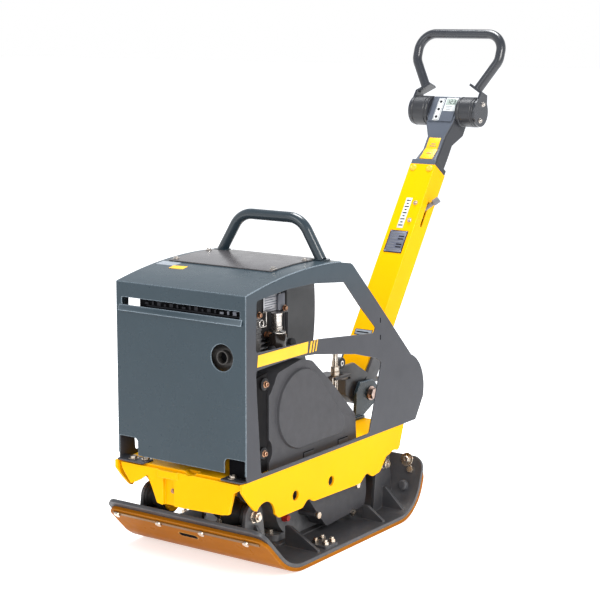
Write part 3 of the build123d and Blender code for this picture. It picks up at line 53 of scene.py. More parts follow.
# camera, floor and light
cameraSetup = {"place": (1.96287, -2.69928, 1.08114), "azimuth": 34.98, "elevation": 9.85, "roll": 0.17,
    "lens": 97.36}
floorSetup = {"size": 60.0, "colour": (0.80, 0.80, 0.80, 1), "glow": 0.60}
worldSetup = {"horizon": (1.0, 1.0, 1.0, 1), "middle": (0.90, 0.93, 0.97, 1),
              "zenith": (0.48, 0.51, 0.56, 1), "strength": 1.0}
lightSetup = {
    "keyLight": {"place": (3.4, -1.3, 2.6), "aim": (0.0, 0.1, 0.45), "size": 1.8, "power": 100,
                 "tint": (1.0, 0.98, 0.95)},
    "frontLight": {"place": (-1.4, -4.2, 2.6), "aim": (0.0, 0.0, 0.4), "size": 2.2, "power": 30,
        "tint": (0.97, 0.99, 1.0)},
    "topLight": {"place": (-0.4, 0.9, 3.6), "aim": (0.0, 0.0, 0.5), "size": 1.8, "power": 135,
                 "tint": (0.98, 0.99, 1.0)},
}


def deselectAll():
    bpy.ops.object.select_all(action="DESELECT")
    bpy.context.view_layer.objects.active = None


def makeCamera(setup):
    bpy.ops.object.camera_add(location=setup["place"])
    camera = bpy.context.active_object
    turn = Matrix.Rotation(math.radians(setup["azimuth"]), 3, "Z")
    tip = Matrix.Rotation(math.radians(90 - setup["elevation"]), 3, "X")
    roll = Matrix.Rotation(math.radians(setup["roll"]), 3, "Z")
    camera.rotation_euler = (turn @ tip @ roll).to_euler()
    camera.data.lens = setup["lens"]
    camera.data.sensor_width = 36
    camera.data.clip_end = 100
    bpy.context.scene.camera = camera


def makeFloor(setup):
    deselectAll()
    bpy.ops.mesh.primitive_plane_add(size=setup["size"])
    floor = bpy.context.active_object
    floor.name = "studioFloor"
    finish = bpy.data.materials.new("paleFloor")
    finish.use_nodes = True
    shader = finish.node_tree.nodes["Principled BSDF"]
    shader.inputs["Base Color"].default_value = setup["colour"]
    shader.inputs["Roughness"].default_value = 0.75
    shader.inputs["Specular IOR Level"].default_value = 0.1
    shader.inputs["Emission Color"].default_value = (1, 1, 1, 1)
    shader.inputs["Emission Strength"].default_value = setup["glow"]
    floor.data.materials.append(finish)


def makeWorld(setup):
    world = bpy.data.worlds.new("softStudio")
    bpy.context.scene.world = world
    world.use_nodes = True
    tree = world.node_tree
    background = tree.nodes["Background"]
    place = tree.nodes.new("ShaderNodeTexCoord")
    split = tree.nodes.new("ShaderNodeSeparateXYZ")
    ramp = tree.nodes.new("ShaderNodeValToRGB")
    ramp.color_ramp.elements[0].color = setup["horizon"]
    ramp.color_ramp.elements[0].position = 0.06
    ramp.color_ramp.elements[1].color = setup["zenith"]
    ramp.color_ramp.elements[1].position = 0.8
    middle = ramp.color_ramp.elements.new(0.32)
    middle.color = setup["middle"]
    tree.links.new(place.outputs["Generated"], split.inputs[0])
    tree.links.new(split.outputs["Z"], ramp.inputs[0])
    tree.links.new(ramp.outputs["Color"], background.inputs["Color"])
    background.inputs["Strength"].default_value = setup["strength"]


def makeLight(name, setup):
    bpy.ops.object.light_add(type="AREA", location=setup["place"])
    light = bpy.context.active_object
    light.name = name
    light.data.shape = "DISK"
    light.data.size = setup["size"]
    light.data.energy = setup["power"]
    light.data.color = setup["tint"]
    towards = Vector(setup["aim"]) - Vector(setup["place"])
    light.rotation_euler = towards.to_track_quat("-Z", "Y").to_euler()


makeCamera(cameraSetup)
makeFloor(floorSetup)
makeWorld(worldSetup)
for lightName, setup in lightSetup.items():
    makeLight(lightName, setup)
bpy.context.scene.view_settings.view_transform = "Standard"
print("camera, floor and light are set")


# every finish reads Object coordinates, in metres
def startFinish(name):
    finish = bpy.data.materials.new(name)
    finish.use_nodes = True
    tree = finish.node_tree
    shader = tree.nodes["Principled BSDF"]
    place = tree.nodes.new("ShaderNodeTexCoord")
    return finish, tree, shader, place.outputs["Object"]


def noiseOf(tree, place, scale, detail=4, rough=0.5, stretch=None):
    if stretch:
        mapping = tree.nodes.new("ShaderNodeMapping")
        mapping.inputs["Scale"].default_value = stretch
        tree.links.new(place, mapping.inputs["Vector"])
        place = mapping.outputs["Vector"]
    noise = tree.nodes.new("ShaderNodeTexNoise")
    noise.inputs["Scale"].default_value = scale
    noise.inputs["Detail"].default_value = detail
    noise.inputs["Roughness"].default_value = rough
    tree.links.new(place, noise.inputs["Vector"])
    return noise.outputs["Fac"]


def mapTo(tree, value, fromLow, fromHigh, toLow, toHigh):
    mapping = tree.nodes.new("ShaderNodeMapRange")
    mapping.inputs["From Min"].default_value = fromLow
    mapping.inputs["From Max"].default_value = fromHigh
    mapping.inputs["To Min"].default_value = toLow
    mapping.inputs["To Max"].default_value = toHigh
    tree.links.new(value, mapping.inputs["Value"])
    return mapping.outputs["Result"]


def mathOf(tree, operation, first, second):
    node = tree.nodes.new("ShaderNodeMath")
    node.operation = operation
    for socket, value in zip(node.inputs, (first, second)):
        if isinstance(value, (int, float)):
            socket.default_value = value
        else:
            tree.links.new(value, socket)
    return node.outputs[0]


def blendColours(tree, amount, first, second):
    node = tree.nodes.new("ShaderNodeMix")
    node.data_type = "RGBA"
    tree.links.new(amount, node.inputs[0])
    for socket, value in ((node.inputs[6], first), (node.inputs[7], second)):
        if isinstance(value, tuple):
            socket.default_value = (*value, 1)
        else:
            tree.links.new(value, socket)
    return node.outputs[2]


def edgeWearAndHighlightMask(tree, radius):    # how near a point is to a sharp edge, 0 to 1
    bevel = tree.nodes.new("ShaderNodeBevel")
    bevel.samples = 4
    bevel.inputs["Radius"].default_value = radius
    geometry = tree.nodes.new("ShaderNodeNewGeometry")
    dot = tree.nodes.new("ShaderNodeVectorMath")
    dot.operation = "DOT_PRODUCT"
    tree.links.new(bevel.outputs["Normal"], dot.inputs[0])
    tree.links.new(geometry.outputs["True Normal"], dot.inputs[1])
    return mapTo(tree, dot.outputs["Value"], 1.0, 0.82, 0.0, 1.0)


def bumpOf(tree, height, strength, distance, below=None):
    bump = tree.nodes.new("ShaderNodeBump")
    bump.inputs["Strength"].default_value = strength
    bump.inputs["Distance"].default_value = distance
    tree.links.new(height, bump.inputs["Height"])
    if below:
        tree.links.new(below, bump.inputs["Normal"])
    return bump.outputs["Normal"]


def paintFinish(name, colour, deep, rough=(0.32, 0.42), peel=0.10, wornAndSheenColour=(0.55, 0.56, 0.57), wearAndSheenAmount=0.35,
    dust=None, rim=None, specular=0.3, ior=1.45):
    finish, tree, shader, place = startFinish(name)
    drift = mapTo(tree, noiseOf(tree, place, 5, 3), 0.3, 0.7, 0, 1)
    base = blendColours(tree, drift, colour, deep)
    mottle = mapTo(tree, noiseOf(tree, place, 70, 5, 0.6), 0.35, 0.75, 0, 0.22)
    base = blendColours(tree, mottle, base, deep)
    if dust:
        film = mapTo(tree, noiseOf(tree, place, 22, 8, 0.7), 0.42, 0.72, 0, dust[1])
        base = blendColours(tree, film, base, dust[0])
    # edge wear near sharp edges; on the hood its light blue-grey is also a painted highlight along the folds
    chips = mapTo(tree, noiseOf(tree, place, 260, 6, 0.7), 0.42, 0.6, 0, wearAndSheenAmount)
    edges = mathOf(tree, "MULTIPLY", edgeWearAndHighlightMask(tree, 0.0012), chips)
    base = blendColours(tree, edges, base, wornAndSheenColour)
    # painted highlight: a lighter colour along sharp edges and folds
    if rim:
        base = blendColours(tree, mathOf(tree, "MULTIPLY", edgeWearAndHighlightMask(tree, rim[1]), rim[2]), base, rim[0])
    tree.links.new(base, shader.inputs["Base Color"])
    tree.links.new(mapTo(tree, noiseOf(tree, place, 34, 5), 0.3, 0.7, *rough), shader.inputs["Roughness"])
    grain = bumpOf(tree, noiseOf(tree, place, 420, 3), peel, 0.0006)
    tree.links.new(bumpOf(tree, noiseOf(tree, place, 46, 2), peel * 0.6, 0.0012, grain),
        shader.inputs["Normal"])
    shader.inputs["Specular IOR Level"].default_value = specular
    shader.inputs["IOR"].default_value = ior
    return finish


def metalFinish(name, colour, warm, rough=(0.22, 0.42), brush=None, dirt=None):
    finish, tree, shader, place = startFinish(name)
    cast = mapTo(tree, noiseOf(tree, place, 60, 4, 0.6), 0.35, 0.65, 0, 1)
    base = blendColours(tree, cast, colour, warm)
    if dirt:
        film = mapTo(tree, noiseOf(tree, place, 90, 7, 0.7), 0.5, 0.75, 0, dirt[1])
        base = blendColours(tree, film, base, dirt[0])
    tree.links.new(base, shader.inputs["Base Color"])
    tree.links.new(mapTo(tree, noiseOf(tree, place, 140, 5, 0.6), 0.3, 0.7, *rough),
        shader.inputs["Roughness"])
    lines = noiseOf(tree, place, 300, 3, 0.5, brush) if brush else noiseOf(tree, place, 700, 3)
    tree.links.new(bumpOf(tree, lines, 0.12, 0.0003), shader.inputs["Normal"])
    shader.inputs["Metallic"].default_value = 1.0
    return finish


def mouldedFinish(name, colour, deep, rough=(0.42, 0.58), grain=0.25, grainScale=900, specular=0.45,
    edge=None, ior=1.45):
    finish, tree, shader, place = startFinish(name)
    drift = mapTo(tree, noiseOf(tree, place, 18, 4, 0.6), 0.3, 0.7, 0, 1)
    base = blendColours(tree, drift, colour, deep)
    # painted highlight: a lighter colour along sharp edges
    if edge:
        base = blendColours(tree, mathOf(tree, "MULTIPLY", edgeWearAndHighlightMask(tree, 0.0015), edge[1]), base, edge[0])
    tree.links.new(base, shader.inputs["Base Color"])
    tree.links.new(mapTo(tree, noiseOf(tree, place, 55, 5, 0.6), 0.3, 0.7, *rough),
        shader.inputs["Roughness"])
    cells = tree.nodes.new("ShaderNodeTexVoronoi")
    cells.inputs["Scale"].default_value = grainScale
    tree.links.new(place, cells.inputs["Vector"])
    tree.links.new(bumpOf(tree, cells.outputs["Distance"], grain, 0.0004), shader.inputs["Normal"])
    shader.inputs["Specular IOR Level"].default_value = specular
    shader.inputs["IOR"].default_value = ior
    return finish


def castFinish(name, colour, deep, rough=(0.45, 0.7), lumps=0.5, metallic=0.0):
    finish, tree, shader, place = startFinish(name)
    drift = mapTo(tree, noiseOf(tree, place, 40, 6, 0.65), 0.3, 0.7, 0, 1)
    tree.links.new(blendColours(tree, drift, colour, deep), shader.inputs["Base Color"])
    tree.links.new(mapTo(tree, noiseOf(tree, place, 90, 5), 0.3, 0.7, *rough), shader.inputs["Roughness"])
    sand = bumpOf(tree, noiseOf(tree, place, 520, 5, 0.7), lumps, 0.0006)
    tree.links.new(bumpOf(tree, noiseOf(tree, place, 110, 3), lumps * 0.5, 0.0012, sand),
        shader.inputs["Normal"])
    shader.inputs["Metallic"].default_value = metallic
    return finish


def amberFinish(name):
    finish, tree, shader, place = startFinish(name)
    streaks = mapTo(tree, noiseOf(tree, place, 10, 4, 0.5, (0.35, 1.0, 2.4)), 0.3, 0.7, 0, 1)
    base = blendColours(tree, streaks, (0.29, 0.088, 0.003), (0.36, 0.120, 0.005))
    cloud = mapTo(tree, noiseOf(tree, place, 60, 5, 0.6), 0.45, 0.8, 0, 0.3)
    base = blendColours(tree, cloud, base, (0.23, 0.072, 0.006))
    # painted highlight: lighter amber along sharp edges
    base = blendColours(tree, mathOf(tree, "MULTIPLY", edgeWearAndHighlightMask(tree, 0.0022), 0.7), base,
        (0.60, 0.32, 0.10))
    tree.links.new(base, shader.inputs["Base Color"])
    tree.links.new(mapTo(tree, noiseOf(tree, place, 40, 4), 0.3, 0.7, 0.26, 0.40),
        shader.inputs["Roughness"])
    scuffs = noiseOf(tree, place, 90, 4, 0.6, (0.25, 1.0, 1.0))
    tree.links.new(bumpOf(tree, scuffs, 0.12, 0.0005), shader.inputs["Normal"])
    shader.inputs["IOR"].default_value = 1.10
    shader.inputs["Specular IOR Level"].default_value = 0.3
    return finish


def headFinish(name, colour, deep):    # painted front and black hub ends; the side faces darkened as painted shade
    finish = paintFinish(name, colour, deep, (0.30, 0.42), 0.08, (0.26, 0.28, 0.31), 0.4)
    tree = finish.node_tree
    shader = tree.nodes["Principled BSDF"]
    painted = shader.inputs["Base Color"].links[0].from_socket
    place = tree.nodes.new("ShaderNodeTexCoord")
    spots = tree.nodes.new("ShaderNodeSeparateXYZ")
    facing = tree.nodes.new("ShaderNodeSeparateXYZ")
    tree.links.new(place.outputs["Object"], spots.inputs[0])
    tree.links.new(place.outputs["Normal"], facing.inputs[0])
    hubEnd = mapTo(tree, mathOf(tree, "ABSOLUTE", spots.outputs["X"], 0), 0.0383, 0.0387, 0, 1)
    # painted shade: faces turned sideways are darkened towards black
    sideFace = mapTo(tree, mathOf(tree, "ABSOLUTE", facing.outputs["X"], 0), 0.45, 0.75, 0, 0.8)
    hubBlackAndSideShade = mathOf(tree, "MAXIMUM", hubEnd, sideFace)
    tree.links.new(blendColours(tree, hubBlackAndSideShade, painted, (0.020, 0.019, 0.019)), shader.inputs["Base Color"])
    return finish


# in the paint finishes the tuple of colour, radius and strength after the dust is a painted highlight along
# sharp edges
finishes = {
    "plate_black": paintFinish("charcoalPlate", (0.054, 0.054, 0.060), (0.038, 0.038, 0.042),
        (0.34, 0.50), 0.18,
                               (0.22, 0.20, 0.18), 0.5, ((0.14, 0.125, 0.11), 0.20),
                               ((0.13, 0.13, 0.14), 0.0014, 0.4), 0.6),
    "mat_amber": amberFinish("amberMat"),
    "zinc": metalFinish("zincPlate", (0.80, 0.74, 0.66), (0.62, 0.50, 0.38), (0.20, 0.38), None,
        ((0.12, 0.09, 0.07), 0.5)),
    "steel": metalFinish("machinedSteel", (0.62, 0.62, 0.62), (0.50, 0.50, 0.51), (0.25, 0.4),
        (1.0, 12.0, 12.0)),
    "cast_grey": castFinish("greyCasting", (0.16, 0.16, 0.165), (0.10, 0.10, 0.105)),
    "red_plug": mouldedFinish("redPlug", (0.50, 0.03, 0.02), (0.40, 0.02, 0.015), (0.25, 0.4), 0.1),
    "guard_grey": mouldedFinish("guardGrain", (0.054, 0.053, 0.058), (0.046, 0.045, 0.049), (0.46, 0.6),
        0.30, 620, 0.3,
                                ((0.16, 0.16, 0.17), 0.6)),
    "yellow": paintFinish("signalYellow", (0.98, 0.475, 0.0), (0.93, 0.435, 0.0), (0.34, 0.46), 0.06,
                          (1.0, 0.80, 0.20), 0.5, None, ((1.0, 0.66, 0.06), 0.0016, 0.5), 0.5, 1.13),
    "rubber": mouldedFinish("blackRubber", (0.016, 0.016, 0.017), (0.026, 0.025, 0.024), (0.45, 0.62),
        0.3, 800, 0.25),
    # hood: light blue-grey edge wear that is partly a painted highlight, and a painted highlight rim along the
    # folds
    "hood_blue": paintFinish("blueGreyCoat", (0.028, 0.047, 0.060), (0.024, 0.041, 0.053), (0.24, 0.34),
        0.03,
                             (0.30, 0.36, 0.42), 0.5, None, ((0.38, 0.45, 0.51), 0.0026, 0.85), 0.42),
    "side_grey": paintFinish("greyCoat", (0.044, 0.045, 0.053), (0.038, 0.039, 0.046), (0.36, 0.46), 0.08,
                             (0.32, 0.33, 0.35), 0.5, None, ((0.22, 0.23, 0.25), 0.0014, 0.6), 0.3),
    "cover_grey": paintFinish("coverCoat", (0.085, 0.078, 0.080), (0.076, 0.071, 0.074), (0.20, 0.28), 0.03,
                              (0.30, 0.30, 0.31), 0.5, None, ((0.24, 0.24, 0.25), 0.0014, 0.6), 0.5),
    "cowl_black": mouldedFinish("blackCowl", (0.020, 0.020, 0.022), (0.030, 0.028, 0.028), (0.35, 0.55),
        0.25, 700, 0.2),
    "tank_grey": mouldedFinish("tankGrain", (0.060, 0.060, 0.062), (0.050, 0.050, 0.052), (0.34, 0.5),
        0.2, 700),
    "muffler_dark": castFinish("heatDarkened", (0.065, 0.060, 0.056), (0.040, 0.035, 0.032), (0.4, 0.65),
        0.35, 0.4),
    "panel_white": mouldedFinish("paleFrame", (0.62, 0.64, 0.64), (0.56, 0.58, 0.58), (0.25, 0.4), 0.08),
    "loop_black": paintFinish("blackCoat", (0.018, 0.020, 0.027), (0.014, 0.016, 0.021), (0.20, 0.30), 0.05,
                              (0.20, 0.21, 0.23), 0.4, None, None, 0.9),
    "lever_grey": mouldedFinish("leverGrey", (0.20, 0.20, 0.215), (0.16, 0.16, 0.17), (0.35, 0.5), 0.15),
}
print("finishes:", len(finishes))


def sideFinish(name):    # grey that turns blue-grey towards the hood's top
    finish = paintFinish(name, (0.044, 0.045, 0.053), (0.038, 0.039, 0.046), (0.34, 0.44), 0.06,
                         (0.32, 0.33, 0.35), 0.5, None, ((0.22, 0.23, 0.25), 0.0014, 0.6), 0.3)
    tree = finish.node_tree
    shader = tree.nodes["Principled BSDF"]
    painted = shader.inputs["Base Color"].links[0].from_socket
    place = tree.nodes.new("ShaderNodeTexCoord")
    spots = tree.nodes.new("ShaderNodeSeparateXYZ")
    tree.links.new(place.outputs["Object"], spots.inputs[0])
    upward = mapTo(tree, spots.outputs["Z"], 0.47, 0.58, 0, 0.9)
    tree.links.new(blendColours(tree, upward, painted, (0.034, 0.052, 0.066)), shader.inputs["Base Color"])
    return finish


nodeFinishes = {   # where one part differs from its slot
    "control_head": headFinish("headCoat", (0.095, 0.108, 0.135), (0.078, 0.090, 0.114)),
    "guard_bracket": mouldedFinish("bracketBlack", (0.005, 0.005, 0.006), (0.009, 0.008, 0.008),
        (0.30, 0.45), 0.1, 500, 0.3, None, 1.15),
    "side_plate_left": sideFinish("sideCoat"),
    # painted shade: the bail wears the hood's blue-grey, darkened
    "lifting_bail": paintFinish("bailShadedCoat", (0.020, 0.034, 0.044), (0.016, 0.028, 0.037), (0.18, 0.26),
        0.03, (0.26, 0.31, 0.36), 0.4,
                                None, None, 0.85),
    "pivot_bolt": metalFinish("pivotCopper", (0.50, 0.38, 0.33), (0.36, 0.26, 0.22), (0.24, 0.36), None,
        ((0.08, 0.06, 0.05), 0.5)),
    "front_clamp_strip": paintFinish("bronzeStrip", (0.20, 0.085, 0.012), (0.14, 0.060, 0.010),
        (0.30, 0.42), 0.10,
                                     (0.50, 0.34, 0.16), 0.6, None, ((0.45, 0.26, 0.09), 0.0012, 0.6), 0.4),
}
nodeFinishes["side_plate_right"] = nodeFinishes["side_plate_left"]
nodeFinishes["rear_clamp_strip"] = nodeFinishes["front_clamp_strip"]
for nodeName, piece in frame["nodes"].items():
    finish = nodeFinishes.get(nodeName, finishes[slotOf[nodeName]])
    if len(piece.data.materials):
        piece.material_slots[0].material = finish
    else:
        piece.data.materials.append(finish)
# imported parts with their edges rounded
edgeRounding = {   # radius in metres, rings
    "hood_shell": (0.0010, 2), "side_plate_left": (0.0006, 2), "side_plate_right": (0.0006, 2),
    "top_cover": (0.0006, 2),
    "frame_side_left": (0.0009, 2), "frame_side_right": (0.0009, 2), "frame_deck": (0.0009, 2),
    "front_beam": (0.0010, 2),
    "front_buffer_web": (0.0009, 2), "rear_buffer_web": (0.0009, 2), "base_plate": (0.0012, 2),
    "wear_mat": (0.0009, 2),
    "front_clamp_strip": (0.0005, 2), "rear_clamp_strip": (0.0005, 2), "drawbar_tube": (0.0008, 2),
    "control_head": (0.0010, 2), "drawbar_fork": (0.0009, 2), "drawbar_bracket": (0.0009, 2),
    "belt_guard": (0.0010, 2),
    "lower_belt_guard": (0.0008, 2), "loop_arms": (0.0006, 2), "guard_bracket": (0.0006, 2),
    "clamp_bolts": (0.0003, 1), "frame_bolts": (0.0003, 1),
    "pad_nuts": (0.0003, 1), "buffer_nuts": (0.0003, 1), "pivot_bolt": (0.0004, 2), "bar_stop": (0.0003, 1),
    "exciter_housing": (0.0012, 2), "exciter_cover": (0.0008, 2), "fuel_tank": (0.0020, 2),
    "fan_cowl": (0.0008, 2),
    "crankcase": (0.0010, 2), "rubber_stop": (0.0008, 2),
}


def roundedCopy(nodeName, radius, rings, angle=32):
    deselectAll()
    source = frame["nodes"][nodeName]
    source.select_set(True)
    bpy.context.view_layer.objects.active = source
    bpy.ops.object.duplicate()
    piece = bpy.context.active_object
    piece.parent = None
    for key in list(piece.keys()):
        del piece[key]
    piece.name = nodeName + "_rounded"
    bpy.ops.object.mode_set(mode="EDIT")
    bpy.ops.mesh.select_all(action="SELECT")
    bpy.ops.mesh.remove_doubles(threshold=0.00001)
    bpy.ops.mesh.dissolve_limited(angle_limit=math.radians(0.4), delimit=set())
    bpy.ops.object.mode_set(mode="OBJECT")
    bevel = piece.modifiers.new("edges", "BEVEL")
    bevel.width = radius
    bevel.segments = rings
    bevel.limit_method = "ANGLE"
    bevel.angle_limit = math.radians(angle)
    bevel.use_clamp_overlap = nodeName in ("control_head", "loop_arms")
    bevel.miter_outer = "MITER_SHARP"
    bpy.ops.object.modifier_apply(modifier="edges")
    bpy.ops.object.shade_smooth_by_angle(angle=math.radians(40))
    weighted = piece.modifiers.new("flats", "WEIGHTED_NORMAL")
    weighted.keep_sharp = True
    bpy.ops.object.modifier_apply(modifier="flats")
    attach(piece, bodyOf[nodeName])
    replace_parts(piece, nodeName)
    return piece


for nodeName, (radius, rings) in edgeRounding.items():
    piece = roundedCopy(nodeName, radius, rings)
    frame["nodes"][nodeName] = piece
print("rounded copies:", len(edgeRounding))


# small finishes that only the added pieces use
extraFinishes = {
    "blackCap": mouldedFinish("blackCap", (0.014, 0.014, 0.016), (0.022, 0.021, 0.022), (0.30, 0.48),
        0.15, 700, 0.3),
    "sleeveBlack": mouldedFinish("sleeveBlack", (0.028, 0.029, 0.034), (0.020, 0.021, 0.024),
        (0.28, 0.42), 0.1, 600, 0.6),
    "plateSilver": metalFinish("plateSilver", (0.26, 0.27, 0.33), (0.20, 0.21, 0.27), (0.30, 0.45),
        (1.0, 14.0, 14.0)),
    "brightPlate": metalFinish("brightPlate", (0.50, 0.50, 0.52), (0.42, 0.42, 0.44), (0.30, 0.45),
        (1.0, 14.0, 14.0)),
    "inkDark": mouldedFinish("inkDark", (0.014, 0.014, 0.017), (0.022, 0.022, 0.026), (0.35, 0.5), 0.05,
        500, 0.25, None, 1.3),
    "inkFaded": mouldedFinish("inkFaded", (0.16, 0.165, 0.19), (0.12, 0.125, 0.15), (0.4, 0.55), 0.05),
    "labelYellow": mouldedFinish("labelYellow", (0.92, 0.50, 0.004), (0.86, 0.45, 0.004), (0.28, 0.42),
        0.05),
    "labelWhite": mouldedFinish("labelWhite", (0.66, 0.68, 0.68), (0.58, 0.60, 0.60), (0.28, 0.42), 0.05),
    "labelGrey": mouldedFinish("labelGrey", (0.30, 0.33, 0.36), (0.24, 0.27, 0.30), (0.28, 0.42), 0.05),
    "screenGlass": mouldedFinish("screenGlass", (0.40, 0.46, 0.42), (0.34, 0.40, 0.37), (0.10, 0.18), 0.02),
    "deepShade": mouldedFinish("deepShade", (0.006, 0.006, 0.007), (0.009, 0.009, 0.010), (0.7, 0.85),
        0.1, 500, 0.2, None, 1.05),
    "bowlGlass": mouldedFinish("bowlGlass", (0.024, 0.018, 0.015), (0.014, 0.011, 0.010), (0.10, 0.20),
        0.02, 400, 0.5),
    "brightBody": metalFinish("brightBody", (0.74, 0.70, 0.66), (0.60, 0.55, 0.50), (0.16, 0.30)),
    "copperFitting": metalFinish("copperFitting", (0.46, 0.26, 0.16), (0.34, 0.19, 0.12), (0.25, 0.40),
        None, ((0.05, 0.04, 0.03), 0.5)),
    "yellowScrew": paintFinish("yellowScrew", (0.90, 0.50, 0.02), (0.80, 0.44, 0.02), (0.25, 0.38), 0.05,
        (0.7, 0.66, 0.5), 0.6),
    "ribbedAlloy": castFinish("ribbedAlloy", (0.17, 0.165, 0.165), (0.09, 0.088, 0.09), (0.35, 0.55), 0.3,
        0.5),
}
extraFinishes["headCoat"] = nodeFinishes["control_head"]
allFinishes = {**finishes, **extraFinishes}


def dress(piece, finishName):
    piece.data.materials.clear()
    piece.data.materials.append(allFinishes[finishName])
    return piece


def settle():    # place, turn and size go into the mesh
    bpy.ops.object.transform_apply(location=True, rotation=True, scale=True)


def softenEdges(piece, width, rings=2, angle=30):
    deselectAll()
    piece.select_set(True)
    bpy.context.view_layer.objects.active = piece
    bevel = piece.modifiers.new("soft", "BEVEL")
    bevel.width = width
    bevel.segments = rings
    bevel.limit_method = "ANGLE"
    bevel.angle_limit = math.radians(angle)
    bpy.ops.object.modifier_apply(modifier="soft")
    return piece


def block(place, size, finishName, turn=(0, 0, 0), soft=0.0004, rings=2):
    deselectAll()
    bpy.ops.mesh.primitive_cube_add(size=1, location=place, rotation=turn)
    piece = bpy.context.active_object
    piece.scale = size
    settle()
    softenEdges(piece, min(soft, min(size) * 0.45), rings)
    return dress(piece, finishName)


def turned(profile, finishName, sides=32, place=(0, 0, 0), towards=(0, 0, 1)):
    deselectAll()
    radius, height = profile[0]
    bpy.ops.mesh.primitive_circle_add(vertices=sides, radius=radius, fill_type="NGON",
        location=(0, 0, height))
    piece = bpy.context.active_object
    settle()
    bpy.ops.object.mode_set(mode="EDIT")
    bpy.ops.mesh.select_all(action="SELECT")
    for nextRadius, nextHeight in profile[1:]:
        bpy.ops.mesh.extrude_region_move(TRANSFORM_OT_translate={"value": (0, 0, nextHeight - height)})
        grow = nextRadius / radius
        bpy.ops.transform.resize(value=(grow, grow, 1), center_override=(0, 0, nextHeight))
        radius, height = nextRadius, nextHeight
    bpy.ops.mesh.select_all(action="SELECT")
    bpy.ops.mesh.normals_make_consistent(inside=False)
    bpy.ops.object.mode_set(mode="OBJECT")
    piece.rotation_euler = Vector(towards).to_track_quat("Z", "Y").to_euler()
    piece.location = place
    settle()
    return dress(piece, finishName)


def copiesAt(pattern, spots):    # spots: (place, towards) for a pattern that stands along Z at the origin
    made = []
    for place, towards in spots:
        deselectAll()
        pattern.select_set(True)
        bpy.context.view_layer.objects.active = pattern
        bpy.ops.object.duplicate()
        copied = bpy.context.active_object
        copied.rotation_euler = Vector(towards).to_track_quat("Z", "Y").to_euler()
        copied.location = place
        settle()
        made.append(copied)
    bpy.data.objects.remove(pattern)
    return made


def joined(parts):
    deselectAll()
    for part in parts:
        part.select_set(True)
    bpy.context.view_layer.objects.active = parts[0]
    if len(parts) > 1:
        bpy.ops.object.join()
    return bpy.context.active_object


def hand(parts, name, body, smooth=38):
    piece = joined(parts)
    piece.name = name
    bpy.ops.object.shade_smooth_by_angle(angle=math.radians(smooth))
    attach(piece, body)
    return piece


def socketScrew(radius, height, finishName):    # round head with a sunk middle, standing along Z
    return turned(((radius * 1.45, 0), (radius * 1.5, height * 0.12), (radius * 1.45, height * 0.2),
        (radius, height * 0.22),
                   (radius, height * 0.86), (radius * 0.86, height), (radius * 0.56, height),
                   (radius * 0.52, height * 0.55)),
                  finishName, 20)


def hexScrew(across, height, finishName, washer=1.25):
    head = turned(((across * 0.5, 0), (across * 0.577, 0), (across * 0.577, height * 0.86),
        (across * 0.50, height),
                   (across * 0.30, height), (across * 0.27, height * 0.90)), finishName, 6)
    ring = turned(((across * 0.6 * washer, -0.0002), (across * 0.62 * washer, height * 0.12),
        (across * 0.60 * washer, height * 0.2)),
                  finishName, 24)
    return joined([head, ring])


# the drawbar's own directions: back is away from its front face, up runs along it
pivotPlace = Vector((0, 0.3065, 0.252))
barLean = math.radians(34)
barUp = Vector((0, math.sin(barLean), math.cos(barLean)))
barBack = Vector((0, math.cos(barLean), -math.sin(barLean)))
barTurn = (-barLean, 0, 0)
barStart = pivotPlace + barBack * 0.006


def onBar(x, back, reach):
    return Vector((x, 0, 0)) + barStart + barBack * back + barUp * reach


ratingPlate = {"middle": (0.0, 0.369), "size": (0.048, 0.0012, 0.058), "rows": 7, "rivet": 0.0022}
tickSticker = {"middle": (-0.003, 0.445), "size": (0.016, 0.0006, 0.080), "ticks": 9}
faceBack = -0.028
plateX, plateReach = ratingPlate["middle"]
plateWide, plateThick, plateTall = ratingPlate["size"]
parts = [block(onBar(plateX, faceBack - plateThick / 2, plateReach), (plateWide, plateThick, plateTall),
    "inkDark", barTurn),
         block(onBar(plateX, faceBack - plateThick * 0.6, plateReach),
               (plateWide * 0.92, plateThick, plateTall * 0.93), "plateSilver", barTurn)]
for row in range(ratingPlate["rows"]):
    rowReach = plateReach + plateTall * (0.36 - 0.72 * row / (ratingPlate["rows"] - 1))
    cellWide = plateWide * (0.82 if row % 3 == 0 else 0.38)
    cellShift = 0 if row % 3 == 0 else -plateWide * 0.20
    parts.append(block(onBar(plateX + cellShift, faceBack - plateThick, rowReach),
        (cellWide, 0.0004, plateTall * 0.062), "inkFaded", barTurn))
    if row % 3:
        parts.append(block(onBar(plateX + plateWide * 0.22, faceBack - plateThick, rowReach),
            (cellWide * 0.8, 0.0004, plateTall * 0.062), "inkDark", barTurn))
rivetHead = turned(((0.0022, 0), (0.0022, 0.0006), (0.0015, 0.0013), (0.0006, 0.0016)), "plateSilver", 16)
corners = [(plateX + across * plateWide * 0.43, plateReach + up * plateTall * 0.44) for across in (-1, 1)
           for up in (-1, 1)]
parts += copiesAt(rivetHead, [(onBar(x, faceBack - plateThick, reach), -barBack) for x, reach in corners])
hand(parts, "rating_plate", "drawbar")

stickerX, stickerReach = tickSticker["middle"]
parts = [block(onBar(stickerX, faceBack - 0.0003, stickerReach), tickSticker["size"], "labelWhite",
    barTurn)]
for tick in range(tickSticker["ticks"]):
    tickReach = stickerReach + 0.066 * (tick / (tickSticker["ticks"] - 1) - 0.5)
    tickWide = 0.011 if tick % 2 == 0 else 0.006
    parts.append(block(onBar(stickerX, faceBack - 0.0007, tickReach), (tickWide, 0.0003, 0.0028),
        "inkDark", barTurn))
hand(parts, "scale_sticker", "drawbar")

